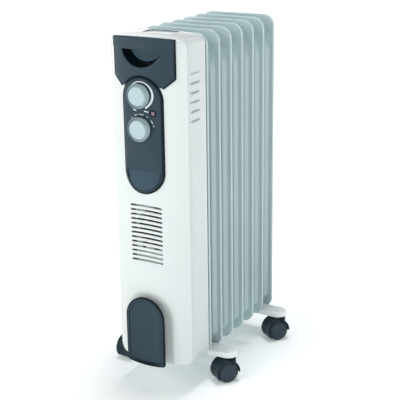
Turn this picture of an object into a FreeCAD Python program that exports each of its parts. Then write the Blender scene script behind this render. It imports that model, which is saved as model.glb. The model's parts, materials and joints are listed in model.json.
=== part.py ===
"""Oil filled radiator heater: seven oil-filled fins, a control box with a booster fan, and four casters.

Millimetres. X is across the heater, -Y is the front of the control box and +Z is up. The origin is on the
floor, below the middle of the heater. Every driving dimension is a cell of the spreadsheet Dims.
"""
import FreeCAD, Part
import os
from math import cos, radians, sin

import Sketcher

Vector = FreeCAD.Vector
doc = FreeCAD.newDocument("oil_radiator")

DIMENSIONS = {
    # fins
    "fin_count": 7, "fin_pitch": 40.7, "fin_first": -77.3, "fin_width": 150, "fin_low": 48, "fin_top": 628,
    "fin_corner": 20, "web_sheet": 2.4, "rim_depth": 5, "rim_wall": 1.6,
    "channel_margin": 9, "channel_low": 66, "channel_top": 595, "channel_swell": 7, "channel_wall": 1.5,
    "side_channel": 14, "centre_channel": 28, "header_height": 44,
    # oil ducts that join the fins
    "duct_low": 88, "duct_top": 573, "duct_outer": 20, "duct_inner": 17.5, "front_neck": 9, "end_cap": 3.9,
    # control box
    "box_width": 149, "box_low": 55, "box_top": 628, "box_corner": 13, "cover_front": -163,
    "barrel": 125, "cover_wall": 2.5, "seam": -134, "housing_back": -81, "housing_wall": 2,
    "louvre_count": 6, "louvre_pitch": 15.8, "louvre_first": 492, "louvre_length": 31, "louvre_gap": 3.4,
    "louvre_front": -132, "slot_count": 13, "slot_pitch": 8.2, "slot_low": 244, "slot_half": 31.5,
    "slot_gap": 3.6, "shield_front": -91.5, "shield_sheet": 1.5, "shield_top": 594, "shield_low": 70,
    # handles
    "panel_half": 57, "panel_skin": 2.4, "panel_low": 549, "bar_half": 58.5, "bar_low": 607, "bar_skin": 3.4,
    "moon_radius": 40.4, "moon_centre": 621, "well_depth": 22, "well_wall": 2,
    "pocket_half": 29, "pocket_front": -113, "pocket_back": -85, "pocket_depth": 30,
    # control strip, knobs and lamp
    "strip_half": 38.7, "strip_top": 566, "strip_low": 367, "strip_skin": 4.2, "strip_bevel": 2.2,
    "knob_radius": 19.2, "knob_face": 15, "knob_depth": 11, "knob_back": -168, "thermostat_height": 535.7,
    "selector_height": 480.2, "spindle": 3, "running": 0.05, "lamp_across": 23, "lamp_height": 507,
    "lens_radius": 3.75, "plate_front": -153, "plate_sheet": 1.5,
    # booster fan
    "fan_height": 293, "fan_frame": 84, "fan_bore": 36.5, "fan_front": -150, "fan_depth": 25,
    "blade_count": 7, "blade_tip": 34.5, "hub_radius": 14.5, "motor_radius": 12,
    # cord tongue
    "tongue_front": -175, "tongue_half": 39, "tongue_low": 54, "tongue_centre": 142, "tongue_plate": 4,
    "neck_half": 22, "gland_across": -45, "gland_deep": -112, "gland_bore": 3.6,
    # feet
    "bracket_half": 116, "bracket_width": 34.6, "bracket_top": 55.3, "bracket_low": 46, "bracket_sheet": 1.5,
    "bolt_rod": 3, "bolt_bend": 23.2,
    # casters
    "stem_across": 106, "stem_radius": 4, "trail": 13, "wheel_radius": 20, "wheel_width": 14,
    "wheel_inset": 3, "hood_radius": 22.7, "hood_wall": 1.8, "hood_half": 17, "axle": 3,
    "turn_right": 35, "turn_left": 4.05,
}


class Size:
    """A length that knows its value and the spreadsheet expression that gives it."""

    def __init__(self, value, text):
        self.value = value
        self.text = text

    def __add__(self, other):
        return combine(self, "+", other)

    def __radd__(self, other):
        return combine(other, "+", self)

    def __sub__(self, other):
        return combine(self, "-", other)

    def __rsub__(self, other):
        return combine(other, "-", self)

    def __mul__(self, other):
        return combine(self, "*", other)

    def __rmul__(self, other):
        return combine(other, "*", self)

    def __truediv__(self, other):
        return combine(self, "/", other)

    def __neg__(self):
        return combine(0, "-", self)


def as_size(item):
    return item if isinstance(item, Size) else Size(float(item), repr(float(item)))


def combine(left, sign, right):
    a, b = as_size(left), as_size(right)
    values = {"+": a.value + b.value, "-": a.value - b.value, "*": a.value * b.value}
    value = a.value / b.value if sign == "/" else values[sign]
    return Size(value, f"({a.text} {sign} {b.text})")


def fill_sheet():
    """Put every driving dimension in the spreadsheet and return one Size for each."""
    sheet = doc.addObject("Spreadsheet::Sheet", "Dims")
    sizes = {}
    for row, (name, value) in enumerate(DIMENSIONS.items(), start=1):
        sheet.set(f"A{row}", name)
        sheet.set(f"B{row}", str(value))
        sheet.setAlias(f"B{row}", name)
        sizes[name] = Size(float(value), f"Dims.{name}")
    doc.recompute()
    return sizes


class Dims:
    """The driving dimensions as attributes."""


d = Dims()
d.__dict__.update(fill_sheet())


# ---------------------------------------------------------------- helpers

NODES = {}
TURNS = {
    "z": FreeCAD.Rotation(),
    "x": FreeCAD.Rotation(Vector(0, 1, 0), 90),
    "y": FreeCAD.Rotation(Vector(1, 0, 0), -90),
    "front": FreeCAD.Rotation(Vector(1, 0, 0), 90),
}


def node(name, item):
    """Give a finished sub-part its own name."""
    item.Label = name
    NODES[name] = item
    return item


def bind(item, **sizes):
    """Bind properties of an object to the spreadsheet."""
    for name, size in sizes.items():
        item.setExpression(name, as_size(size).text)
    return item


def put(item, x=0, y=0, z=0, turn=None):
    """Place an object, with its position bound to the spreadsheet."""
    if turn is not None:
        item.Placement = FreeCAD.Placement(Vector(), turn)
    for axis, size in zip("xyz", (x, y, z)):
        item.setExpression(f"Placement.Base.{axis}", as_size(size).text)
    return item


def block(name, low, high):
    """A box between two corners."""
    item = doc.addObject("Part::Box", name)
    spans = [b - as_size(a) if isinstance(b, Size) else as_size(b) - a for a, b in zip(low, high)]
    bind(item, Length=spans[0], Width=spans[1], Height=spans[2])
    return put(item, *low)


def rod(name, axis, base, radius, length, sector=360):
    """A cylinder from base along +X, +Y or +Z."""
    item = doc.addObject("Part::Cylinder", name)
    item.Angle = sector
    bind(item, Radius=radius, Height=length)
    return put(item, *base, turn=TURNS[axis])


def fuse(name, *parts):
    item = doc.addObject("Part::MultiFuse", name)
    item.Shapes = list(parts)
    return item


def cut(name, base, *tools):
    item = doc.addObject("Part::Cut", name)
    item.Base = base
    item.Tool = tools[0] if len(tools) == 1 else fuse(name + "_tools", *tools)
    return item


def common(name, first, second):
    item = doc.addObject("Part::Common", name)
    item.Base = first
    item.Tool = second
    return item


def group(name, parts):
    """One or more solids kept together, each separate, so that they can be placed as one."""
    item = doc.addObject("Part::Compound", name)
    item.Links = list(parts)
    return item


def new_sketch(body, name, y=0):
    """A sketch on the body's XZ plane, moved to y; its own axes are X and Z, and it faces -Y."""
    sketch = body.newObject("Sketcher::SketchObject", name)
    plane = next(f for f in body.Origin.OriginFeatures if f.Role == "XZ_Plane")
    sketch.AttachmentSupport = [(plane, "")]
    sketch.MapMode = "FlatFace"
    sketch.setExpression("AttachmentOffset.Base.z", (-as_size(y)).text)
    return sketch


def pin_point(sketch, geometry, vertex, x, z):
    """Hold a sketch point at a place bound to the spreadsheet."""
    for kind, size in (("DistanceX", as_size(x)), ("DistanceY", as_size(z))):
        index = sketch.addConstraint(Sketcher.Constraint(kind, -1, 1, geometry, vertex, size.value))
        sketch.setExpression(f"Constraints[{index}]", size.text)


def polygon(sketch, corners):
    """Add a closed polygon with every corner bound to the spreadsheet."""
    points = [Vector(as_size(x).value, as_size(z).value, 0) for x, z in corners]
    first = sketch.GeometryCount
    count = len(points)
    for i in range(count):
        sketch.addGeometry(Part.LineSegment(points[i], points[(i + 1) % count]))
    for i in range(count):
        sketch.addConstraint(Sketcher.Constraint("Coincident", first + i, 2, first + (i + 1) % count, 1))
    for i, (x, z) in enumerate(corners):
        pin_point(sketch, first + i, 1, x, z)


def circle(sketch, x, z, radius):
    """Add a circle with its centre and radius bound to the spreadsheet."""
    centre = Vector(as_size(x).value, as_size(z).value, 0)
    index = sketch.addGeometry(Part.Circle(centre, Vector(0, 0, 1), as_size(radius).value))
    pin_point(sketch, index, 3, x, z)
    hold = sketch.addConstraint(Sketcher.Constraint("Radius", index, as_size(radius).value))
    sketch.setExpression(f"Constraints[{hold}]", as_size(radius).text)


def rectangle(half, low, top):
    return [(-half, low), (half, low), (half, top), (-half, top)]


def pad(body, sketch, length):
    """Grow a sketch towards -Y."""
    item = body.newObject("PartDesign::Pad", sketch.Name + "_pad")
    item.Profile = sketch
    bind(item, Length=length)
    doc.recompute()
    return item


def pocket(body, sketch, length):
    """Cut a sketch towards -Y and check that it removed something."""
    before = body.Shape.Volume
    item = body.newObject("PartDesign::Pocket", sketch.Name + "_pocket")
    item.Profile = sketch
    item.Reversed = True
    bind(item, Length=length)
    doc.recompute()
    if not body.Shape.Volume < before:
        raise RuntimeError(f"{item.Name} cut nothing")
    return item


def round_corners(body, feature, radius, corners):
    """Round the edges of a feature that run along Y through the given corners."""
    doc.recompute()
    wanted = [(as_size(x).value, as_size(z).value) for x, z in corners]
    names = []
    for index, edge in enumerate(feature.Shape.Edges, start=1):
        ends = [(v.X, v.Z) for v in edge.Vertexes]
        for x, z in wanted:
            if len(ends) == 2 and all(abs(a - x) < 0.01 and abs(b - z) < 0.01 for a, b in ends):
                names.append(f"Edge{index}")
    item = body.newObject("PartDesign::Fillet", feature.Name + "_fillet")
    item.Base = (feature, names)
    bind(item, Radius=radius)
    doc.recompute()
    return item


def rounded_prism(name, corners, y_back, y_front, radius):
    """A polygon drawn across X and Z, grown from y_back forward to y_front, with rounded corners."""
    body = doc.addObject("PartDesign::Body", name)
    sketch = new_sketch(body, name + "_outline", y_back)
    polygon(sketch, corners)
    feature = pad(body, sketch, as_size(y_back) - y_front)
    round_corners(body, feature, radius, corners)
    return body


def turned(name, profile, x=0, y=0, z=0, turn="front"):
    """A solid of revolution: profile is a list of (radius, distance along the axis)."""
    body = doc.addObject("PartDesign::Body", name)
    sketch = new_sketch(body, name + "_profile")
    polygon(sketch, profile)
    item = body.newObject("PartDesign::Revolution", name + "_turned")
    item.Profile = sketch
    item.ReferenceAxis = (sketch, ["V_Axis"])
    item.Angle = 360
    put(body, x, y, z, turn=TURNS[turn])
    doc.recompute()
    return body


# ---------------------------------------------------------------- fins and oil ducts

MID_WEB = d.web_sheet / 2
CHANNEL_HALF = d.fin_width / 2 - d.channel_margin


def channel_outline(sketch, inset):
    """The pressed oil channels: two header chambers joined by side channels and a centre channel."""
    low, top = d.channel_low, d.channel_top
    polygon(sketch, rectangle(CHANNEL_HALF - inset, low + inset, top - inset))
    window = [d.centre_channel / 2 - inset, CHANNEL_HALF - d.side_channel + inset]
    window_low = low + d.header_height - inset
    window_top = top - d.header_height + inset
    for side in (-1, 1):
        near, far = window[0] * side, window[1] * side
        polygon(sketch, [(near, window_low), (far, window_low), (far, window_top), (near, window_top)])


def make_fin(index):
    """One fin: two pressed sheets with a folded rim, hollow oil channels and two open necks."""
    name = f"fin_{index + 1}"
    first, last = index == 0, index == int(d.fin_count.value) - 1
    body = doc.addObject("PartDesign::Body", name)
    half = d.fin_width / 2

    plate = new_sketch(body, name + "_plate", d.rim_depth)
    polygon(plate, rectangle(half, d.fin_low, d.fin_top))
    feature = pad(body, plate, d.rim_depth)
    round_corners(body, feature, d.fin_corner, rectangle(half, d.fin_low, d.fin_top))

    inside = new_sketch(body, name + "_tray", d.rim_depth)
    wall = d.rim_wall
    polygon(inside, rectangle(half - wall, d.fin_low + wall, d.fin_top - wall))
    tray = body.newObject("PartDesign::Pocket", name + "_tray_pocket")
    tray.Profile = inside
    tray.Reversed = True
    bind(tray, Length=d.rim_depth - d.web_sheet)
    doc.recompute()

    channels = new_sketch(body, name + "_channels", MID_WEB + d.channel_swell)
    channel_outline(channels, 0)
    swell = pad(body, channels, d.channel_swell * 2)
    outline = rectangle(CHANNEL_HALF, d.channel_low, d.channel_top)
    round_corners(body, swell, d.side_channel - 1, outline)

    back_reach = d.channel_swell + MID_WEB if last else MID_WEB + d.fin_pitch / 2
    front_reach = d.front_neck if first else d.fin_pitch / 2 - MID_WEB
    necks = new_sketch(body, name + "_necks", back_reach)
    for height in (d.duct_low, d.duct_top):
        circle(necks, 0, height, d.duct_outer)
    pad(body, necks, as_size(back_reach) + front_reach)

    bores = new_sketch(body, name + "_bores", as_size(back_reach) + 1)
    for height in (d.duct_low, d.duct_top):
        circle(bores, 0, height, d.duct_inner)
    pocket(body, bores, as_size(back_reach) + front_reach + 2)

    hollow = new_sketch(body, name + "_hollow", MID_WEB + d.channel_swell - d.channel_wall)
    channel_outline(hollow, d.channel_wall)
    pocket(body, hollow, (d.channel_swell - d.channel_wall) * 2)

    if first:
        holes = new_sketch(body, name + "_screw_holes", d.web_sheet + 1)
        for x, z in SCREW_PLACES:
            circle(holes, x, z, SCREW_SHANK)
        pocket(body, holes, d.web_sheet + 2)
    put(body, 0, d.fin_first + d.fin_pitch * index, 0)
    return node(name, body)


SCREW_SHANK = 2
SCREW_PLACES = [(x, z) for x in (-32, 32) for z in (160, 520)]
SCREW_HEAD = 3
DUCT_FRONT = d.fin_first - d.front_neck
LAST_FIN = d.fin_first + d.fin_pitch * (d.fin_count - 1)
DUCT_BACK = LAST_FIN + d.channel_swell + MID_WEB

for fin_index in range(int(d.fin_count.value)):
    make_fin(fin_index)

# pressed caps that close the ducts behind the last fin
for cap_name, cap_height in (("rear_upper_cap", d.duct_top), ("rear_lower_cap", d.duct_low)):
    cap_profile = [(0, -3), (d.duct_inner, -3), (d.duct_inner, 0), (d.duct_outer, 0),
                   (d.duct_outer - 1, d.end_cap - 1), (d.duct_outer - 4, d.end_cap), (0, d.end_cap)]
    node(cap_name, turned(cap_name, cap_profile, 0, DUCT_BACK, cap_height, "y"))

# plug through which the fins are filled with oil
plug_profile = [(0, -6), (d.duct_inner, -6), (d.duct_inner, 0), (d.duct_inner + 0.5, 0),
                (d.duct_inner + 0.5, 1.2), (8, 1.2), (8, 2.4), (0, 2.4)]
node("filler_plug", turned("filler_plug", plug_profile, 0, DUCT_FRONT, d.duct_top))

# immersion element: two legs joined by a bend, held by a flange in the lower duct
ELEMENT_ROD = 4
ELEMENT_BEND = 8
ELEMENT_REACH = 232
FLANGE_FRONT = DUCT_FRONT - 8
TERMINAL_FRONT = FLANGE_FRONT - 9

legs = [rod("element_leg", "y", (0, TERMINAL_FRONT, d.duct_low + side * ELEMENT_BEND), ELEMENT_ROD,
            ELEMENT_REACH - TERMINAL_FRONT + DUCT_FRONT) for side in (-1, 1)]
bend = doc.addObject("Part::Torus", "element_bend")
bend.Radius1 = ELEMENT_BEND
bend.Radius2 = ELEMENT_ROD
bend.Angle3 = 180
put(bend, 0, DUCT_FRONT + ELEMENT_REACH, d.duct_low, turn=FreeCAD.Rotation(Vector(0, 1, 0), 90))
node("heating_element", fuse("heating_element", *legs, bend))

flange_hex = doc.addObject("Part::Prism", "flange_hex")
flange_hex.Polygon = 6
bind(flange_hex, Circumradius=as_size(24), Height=DUCT_FRONT - FLANGE_FRONT)
put(flange_hex, 0, FLANGE_FRONT, d.duct_low, turn=TURNS["y"])
flange_spigot = rod("flange_spigot", "y", (0, DUCT_FRONT, d.duct_low), d.duct_inner, 10)
leg_holes = [rod("leg_hole", "y", (0, FLANGE_FRONT - 1, d.duct_low + side * ELEMENT_BEND), ELEMENT_ROD, 24)
             for side in (-1, 1)]
node("element_flange", cut("element_flange", fuse("flange_blank", flange_hex, flange_spigot), *leg_holes))


# ---------------------------------------------------------------- control box

BARREL_AXIS = d.cover_front + d.barrel
BOX_HALF = d.box_width / 2
BOX_HEIGHT = d.box_top - d.box_low


def barrel_tube(name, inner, outer):
    """A standing tube about the axis of the barrel front."""
    base = (0, BARREL_AXIS, d.box_low)
    solid = rod(name + "_outer", "z", base, outer, BOX_HEIGHT)
    return cut(name, solid, rod(name + "_inner", "z", base, inner, BOX_HEIGHT))


def box_prism(name, inset, y_back, y_front):
    """The rounded outline of the control box."""
    corners = rectangle(BOX_HALF - inset, d.box_low + inset, d.box_top - inset)
    return rounded_prism(name, corners, y_back, y_front, d.box_corner - inset)


def make_front_cover():
    """Barrel-fronted cover with the fan slots, the finger opening and the spindle holes."""
    base = (0, BARREL_AXIS, d.box_low)
    outer = common("cover_outer", rod("barrel_solid", "z", base, d.barrel, BOX_HEIGHT),
                   box_prism("cover_outline", 0, d.seam, d.cover_front - 2))
    inner = common("cover_inner", rod("barrel_space", "z", base, d.barrel - d.cover_wall, BOX_HEIGHT),
                   box_prism("cover_space", d.cover_wall, d.seam + 1, d.cover_front - 2))
    deep = as_size(40)
    start = d.cover_front - 2
    tools = [inner]
    for i in range(int(d.slot_count.value)):
        middle = d.slot_low + d.slot_pitch * i
        low = (-d.slot_half, start, middle - d.slot_gap / 2)
        tools.append(block("grille_slot", low, (d.slot_half, start + 12, middle + d.slot_gap / 2)))
    moon = rod("moon_hole", "y", (0, start, d.moon_centre), d.moon_radius + d.well_wall + 0.3, deep)
    below_bar = block("moon_limit", (-60, start - 1, 560), (60, start + deep + 1, 625))
    tools.append(common("moon_opening", moon, below_bar))
    for height in (d.thermostat_height, d.selector_height):
        tools.append(rod("spindle_hole", "y", (0, start, height), 5, deep))
    tools.append(rod("lamp_hole", "y", (d.lamp_across, start, d.lamp_height), d.lens_radius + 0.2, deep))
    shell = cut("cover_shell", outer, *tools)
    post_back = d.plate_front
    posts = [rod("post", "y", (x, as_size(-159), z), 3, post_back + 159) for x in (-27, 27) for z in (455, 562)]
    return node("front_cover", fuse("front_cover", shell, *posts))


def make_housing():
    """Back part of the control box: sides with louvres, top with the pocket opening, open behind."""
    outer = box_prism("housing_outer", 0, d.housing_back, d.seam + 0.2)
    inner = box_prism("housing_space", d.housing_wall, d.housing_back + 1, d.seam - 1)
    tube = cut("housing_tube", outer, inner)
    back = d.housing_back
    lips = [block("upper_lip", (-60, back - 2, d.channel_top + 0.6), (60, back, d.box_top - 1)),
            block("lower_lip", (-60, back - 2, d.box_low + 1), (60, back, d.channel_low - 0.6))]
    for side in (-1, 1):
        edges = sorted((side * (BOX_HALF.value - 2), side * BOX_HALF.value))
        lips.append(block("skirt", (edges[0], -99, d.box_low + 3), (edges[1], back, d.box_low + 15)))
    louvres = []
    for i in range(int(d.louvre_count.value)):
        low_z = d.louvre_first + d.louvre_pitch * i - d.louvre_gap / 2
        louvres.append(block("louvre", (-BOX_HALF - 1, d.louvre_front, low_z),
                             (BOX_HALF + 1, d.louvre_front + d.louvre_length, low_z + d.louvre_gap)))
    pocket_hole = block("pocket_hole", (-d.pocket_half, d.pocket_front, d.box_top - 3),
                        (d.pocket_half, d.pocket_back, d.box_top + 1))
    gland_hole = rod("gland_hole", "z", (d.gland_across, d.gland_deep, d.box_low - 1), 6, 6)
    return node("control_housing", cut("control_housing", fuse("housing_body", tube, *lips), *louvres,
                                       pocket_hole, gland_hole))


def make_heat_shield():
    """Steel baffle between the hot fins and the control box."""
    back = d.shield_front + d.shield_sheet
    plate = block("shield_plate", (-BOX_HALF + d.housing_wall + 0.5, d.shield_front, d.shield_low),
                  (BOX_HALF - d.housing_wall - 0.5, back, d.shield_top))
    holes = [rod("shield_hole", "y", (0, d.shield_front - 1, d.duct_low), 25, 5),
             rod("shield_hole", "y", (0, d.shield_front - 1, d.duct_top), d.duct_outer - 0.5, 5)]
    holes += [rod("shield_screw_hole", "y", (x, d.shield_front - 1, z), SCREW_SHANK, 5)
              for x, z in SCREW_PLACES]
    return node("heat_shield", cut("heat_shield", plate, *holes))


def make_carry_well():
    """Open-topped cup in the top of the box for lifting the heater."""
    wall = d.well_wall
    floor = d.box_top - d.pocket_depth
    cup = block("carry_cup", (-d.pocket_half - wall, d.pocket_front - wall, floor - wall),
                (d.pocket_half + wall, d.pocket_back + wall - 0.1, d.box_top - d.housing_wall))
    space = block("carry_space", (-d.pocket_half, d.pocket_front, floor),
                  (d.pocket_half, d.pocket_back, d.box_top))
    return node("carry_well", cut("carry_well", cup, space))


def make_handle_panel():
    """Dark front panel that follows the barrel, with chamfered lower corners and the finger opening."""
    skin = barrel_tube("panel_skin_tube", d.barrel + 0.1, d.barrel + d.panel_skin)
    half, low = d.panel_half, d.panel_low
    corners = [(-half + 18, low), (half - 18, low), (half, low + 15), (half, d.box_top),
               (-half, d.box_top), (-half, low + 15)]
    outline = rounded_prism("panel_outline", corners, d.cover_front + 20, d.cover_front - 8, as_size(1))
    piece = common("panel_blank", skin, outline)
    moon = rod("panel_moon", "y", (0, d.cover_front - 9, d.moon_centre), d.moon_radius, 40)
    below = block("panel_moon_limit", (-60, d.cover_front - 10, 560), (60, d.cover_front + 40, 624))
    strip_gap = rod("panel_strip_gap", "y", (0, d.cover_front - 9, d.strip_top - d.strip_half),
                    d.strip_half + 2, 40)
    return node("handle_panel", cut("handle_panel", piece, common("panel_opening", moon, below), strip_gap))


def make_handle_bar():
    """Grip bar across the top of the panel, with a blank badge."""
    inner = d.barrel + d.panel_skin + 0.1
    skin = barrel_tube("bar_tube", inner, inner + d.bar_skin)
    outline = rounded_prism("bar_outline", rectangle(d.bar_half, d.bar_low, d.box_top),
                            d.cover_front + 20, d.cover_front - 10, as_size(2))
    return node("handle_bar", common("handle_bar", skin, outline))


def make_finger_well():
    """Half-round cup behind the finger opening, with a raised half disc at its back."""
    front = d.cover_front + 3
    back = front + d.well_depth
    outer = rod("well_outer", "y", (0, front, d.moon_centre), d.moon_radius + d.well_wall, d.well_depth)
    inner = rod("well_inner", "y", (0, front - 1, d.moon_centre), d.moon_radius, d.well_depth - 1)
    disc = rod("well_disc", "y", (0, back - 7, d.moon_centre), 33, 6)
    limit = block("well_limit", (-60, front - 1, 560), (60, back + 1, 624.5))
    cup = fuse("well_blank", cut("well_cup", outer, inner), disc)
    barrel = rod("well_trim", "z", (0, BARREL_AXIS, d.box_low), d.barrel, BOX_HEIGHT)
    return node("finger_well", common("finger_well", common("well_half", cup, limit), barrel))


def make_control_strip():
    """Dark strip with round ends that carries the two knobs and the lamp."""
    half = d.strip_half
    upper, lower = d.strip_top - half, d.strip_low + half
    behind, ahead = d.cover_front + 12, d.cover_front - 8

    def stadium(name, radius):
        return fuse(name, block(name + "_middle", (-radius, ahead, lower), (radius, behind, upper)),
                    rod(name + "_top", "y", (0, ahead, upper), radius, behind - ahead),
                    rod(name + "_bottom", "y", (0, ahead, lower), radius, behind - ahead))

    inner = d.barrel + 0.1
    middle = d.barrel + d.strip_skin - d.strip_bevel
    base = common("strip_base", barrel_tube("strip_base_tube", inner, middle), stadium("strip_outline", half))
    face = common("strip_face", barrel_tube("strip_face_tube", middle - 0.5, d.barrel + d.strip_skin),
                  stadium("strip_face_outline", half - 5))
    tools = [rod("strip_spindle_hole", "y", (0, ahead, height), 4, 30)
             for height in (d.thermostat_height, d.selector_height)]
    tools.append(rod("strip_lens_hole", "y", (d.lamp_across, ahead, d.lamp_height), d.lens_radius, 30))
    return node("control_strip", cut("control_strip", fuse("strip_blank", base, face), *tools))


make_front_cover()
make_housing()
make_heat_shield()
make_carry_well()
make_handle_panel()
make_handle_bar()
make_finger_well()
make_control_strip()


# ---------------------------------------------------------------- knobs, lamp and switchgear

PLATE_BACK = d.plate_front + d.plate_sheet


def make_dial(knob_name, spindle_name, height):
    """A knob with a tapered side on its own spindle."""
    depth, cone = d.knob_depth, d.knob_face
    profile = [(0, 0), (d.knob_radius, 0), (d.knob_radius, 1.5), (cone + 1.2, depth - 1.2), (cone, depth),
               (cone - 1.5, depth), (cone - 2.5, depth - 0.8), (0, depth - 0.8)]
    knob = turned(knob_name + "_turned", profile, 0, d.knob_back, height)
    pointer = block(knob_name + "_pointer", (-1, d.knob_back - depth + 0.2, height + cone - 8),
                    (1, d.knob_back - depth + 1, height + cone - 2))
    socket = rod(knob_name + "_socket", "y", (0, d.knob_back - 7, height), d.spindle, 8)
    node(knob_name, cut(knob_name, fuse(knob_name + "_blank", knob, pointer), socket))
    node(spindle_name, rod(spindle_name, "y", (0, d.knob_back - 7, height), d.spindle, 34))


def make_switch(name, height, half_width, half_height, depth):
    """A switch block behind the mounting plate, bored for its spindle."""
    front = PLATE_BACK
    body = block(name + "_block", (-half_width, front, height - half_height),
                 (half_width, front + depth, height + half_height))
    tabs = [block(name + "_tab", (x - 3, front + depth, height - 5), (x + 3, front + depth + 7, height + 5))
            for x in (-8, 8)]
    bore = rod(name + "_bore", "y", (0, front - 1, height), d.spindle + d.running, 14)
    return node(name, cut(name, fuse(name + "_blank", body, *tabs), bore))


def make_control_plate():
    """Sheet-steel plate that holds the thermostat and the selector switch to the cover's posts."""
    plate = block("plate_blank", (-34, d.plate_front, 446), (34, PLATE_BACK, 571))
    holes = [rod("plate_hole", "y", (0, d.plate_front - 1, height), 4, 4)
             for height in (d.thermostat_height, d.selector_height)]
    return node("control_plate", cut("control_plate", plate, *holes))


make_dial("thermostat_knob", "thermostat_spindle", d.thermostat_height)
make_dial("selector_knob", "selector_spindle", d.selector_height)
make_switch("thermostat_body", d.thermostat_height, 16, 18, 26)
make_switch("selector_switch", d.selector_height, 15, 15, 30)
make_control_plate()

LENS_FRONT = -166.6
lens_profile = [(0, 0), (d.lens_radius, 0), (d.lens_radius, 5.4), (d.lens_radius - 1, 6.3), (0, 6.6)]
node("indicator_lens", turned("indicator_lens", lens_profile, d.lamp_across, as_size(-160), d.lamp_height))
node("indicator_lamp", rod("indicator_lamp", "y", (d.lamp_across, -159.9, d.lamp_height), 3, 6.8))

cutout_can = rod("cutout_can", "y", (0, d.shield_front - 6, 145), 9, 6)
cutout_strap = block("cutout_strap", (-20, d.shield_front - 1.5, 140), (20, d.shield_front, 150))
cutout_tags = [block("cutout_tag", (x - 2.5, d.shield_front - 12, 144.5), (x + 2.5, d.shield_front - 5, 145.5))
               for x in (-5, 5)]
node("thermal_cutout", fuse("thermal_cutout", cutout_can, cutout_strap, *cutout_tags))

terminal_base = block("terminal_base", (-26, d.shield_front - 14, 174), (26, d.shield_front, 190))
terminal_holes = [rod("terminal_hole", "z", (x, d.shield_front - 8, 170), 2.2, 24) for x in (-17, 0, 17)]
node("terminal_block", cut("terminal_block", terminal_base, *terminal_holes))

screws = []
for screw_x, screw_z in SCREW_PLACES:
    head = rod("screw_head", "y", (screw_x, d.shield_front - SCREW_HEAD, screw_z), 4, SCREW_HEAD)
    shank = rod("screw_shank", "y", (screw_x, d.shield_front, screw_z), SCREW_SHANK,
                d.fin_first + d.web_sheet - d.shield_front)
    screws.append(fuse("screw", head, shank))
node("fixing_screws", group("fixing_screws", screws))


# ---------------------------------------------------------------- booster fan

FAN_BACK = d.fan_front + d.fan_depth
FRAME_HALF = d.fan_frame / 2


def make_fan():
    """Frame with four struts, motor, seven-bladed impeller and the wire heater behind them."""
    frame = block("fan_blank", (-FRAME_HALF, d.fan_front, d.fan_height - FRAME_HALF),
                  (FRAME_HALF, FAN_BACK, d.fan_height + FRAME_HALF))
    bore = rod("fan_hole", "y", (0, d.fan_front - 1, d.fan_height), d.fan_bore, d.fan_depth + 2)
    struts = []
    reach = d.fan_bore + 1
    for low, high in (((-reach, -2), (reach, 2)), ((-2, -reach), (2, reach))):
        struts.append(block("strut", (low[0], FAN_BACK - 4, d.fan_height + low[1]),
                            (high[0], FAN_BACK, d.fan_height + high[1])))
    seat = rod("motor_seat", "y", (0, FAN_BACK - 4, d.fan_height), d.motor_radius, 4)
    node("fan_frame", fuse("fan_frame", cut("fan_ring", frame, bore), *struts, seat))

    can = rod("motor_can", "y", (0, FAN_BACK - 16, d.fan_height), d.motor_radius, 12)
    shaft = rod("motor_shaft", "y", (0, FAN_BACK - 23, d.fan_height), 1.6, 8)
    node("fan_motor", fuse("fan_motor", can, shaft))

    hub_front = FAN_BACK - 24
    hub_depth = 6
    hub = cut("hub", rod("hub_disc", "y", (0, hub_front, d.fan_height), d.hub_radius, hub_depth),
              rod("hub_bore", "y", (0, hub_front + 1, d.fan_height), 1.6 + d.running, hub_depth))
    blades = []
    span = d.blade_tip - d.hub_radius + 1
    for i in range(int(d.blade_count.value)):
        angle = 360 * i / d.blade_count.value
        blade = doc.addObject("Part::Box", "blade")
        bind(blade, Length=span, Width=as_size(7), Height=as_size(1.4))
        twist = FreeCAD.Rotation(Vector(0, 1, 0), -angle) * FreeCAD.Rotation(Vector(1, 0, 0), 32)
        start = d.hub_radius - 1
        put(blade, start * cos(radians(angle)), hub_front + 0.2, d.fan_height + start * sin(radians(angle)),
            turn=twist)
        blades.append(blade)
    rim = d.blade_tip
    trim = rod("blade_trim", "y", (0, hub_front, d.fan_height), rim, 8)
    node("fan_impeller", common("fan_impeller", fuse("impeller_blank", hub, *blades), trim))

    heater_front = FAN_BACK + 6
    outer = block("heater_blank", (-FRAME_HALF, heater_front, d.fan_height - FRAME_HALF),
                  (FRAME_HALF, heater_front + 8, d.fan_height + FRAME_HALF))
    space = rod("heater_hole", "y", (0, heater_front - 1, d.fan_height), d.fan_bore, 10)
    wires = [rod("heater_wire", "x", (-d.fan_bore - 1, heater_front + 4, d.fan_height + step * 9), 1.5,
                 d.fan_bore * 2 + 2) for step in range(-3, 4)]
    node("fan_heater", fuse("fan_heater", cut("heater_frame", outer, space), *wires))


make_fan()


# ---------------------------------------------------------------- cord tongue and gland

def make_cord_tongue():
    """Arched plate on a neck; the cord is wound between the plate and the cover."""
    front = d.tongue_front
    back = front + d.tongue_plate
    half = d.tongue_half
    plate = fuse("tongue_plate_solid",
                 block("tongue_straight", (-half, front, d.tongue_low), (half, back, d.tongue_centre)),
                 rod("tongue_arch", "y", (0, front, d.tongue_centre), half, d.tongue_plate))
    neck = block("tongue_neck", (-d.neck_half, back - 0.5, 78), (d.neck_half, d.cover_front + 6, 132))
    barrel = rod("tongue_seat", "z", (0, BARREL_AXIS, d.box_low), d.barrel + 0.1, BOX_HEIGHT)
    return node("cord_tongue", fuse("cord_tongue", plate, cut("neck_fitted", neck, barrel)))


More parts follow.
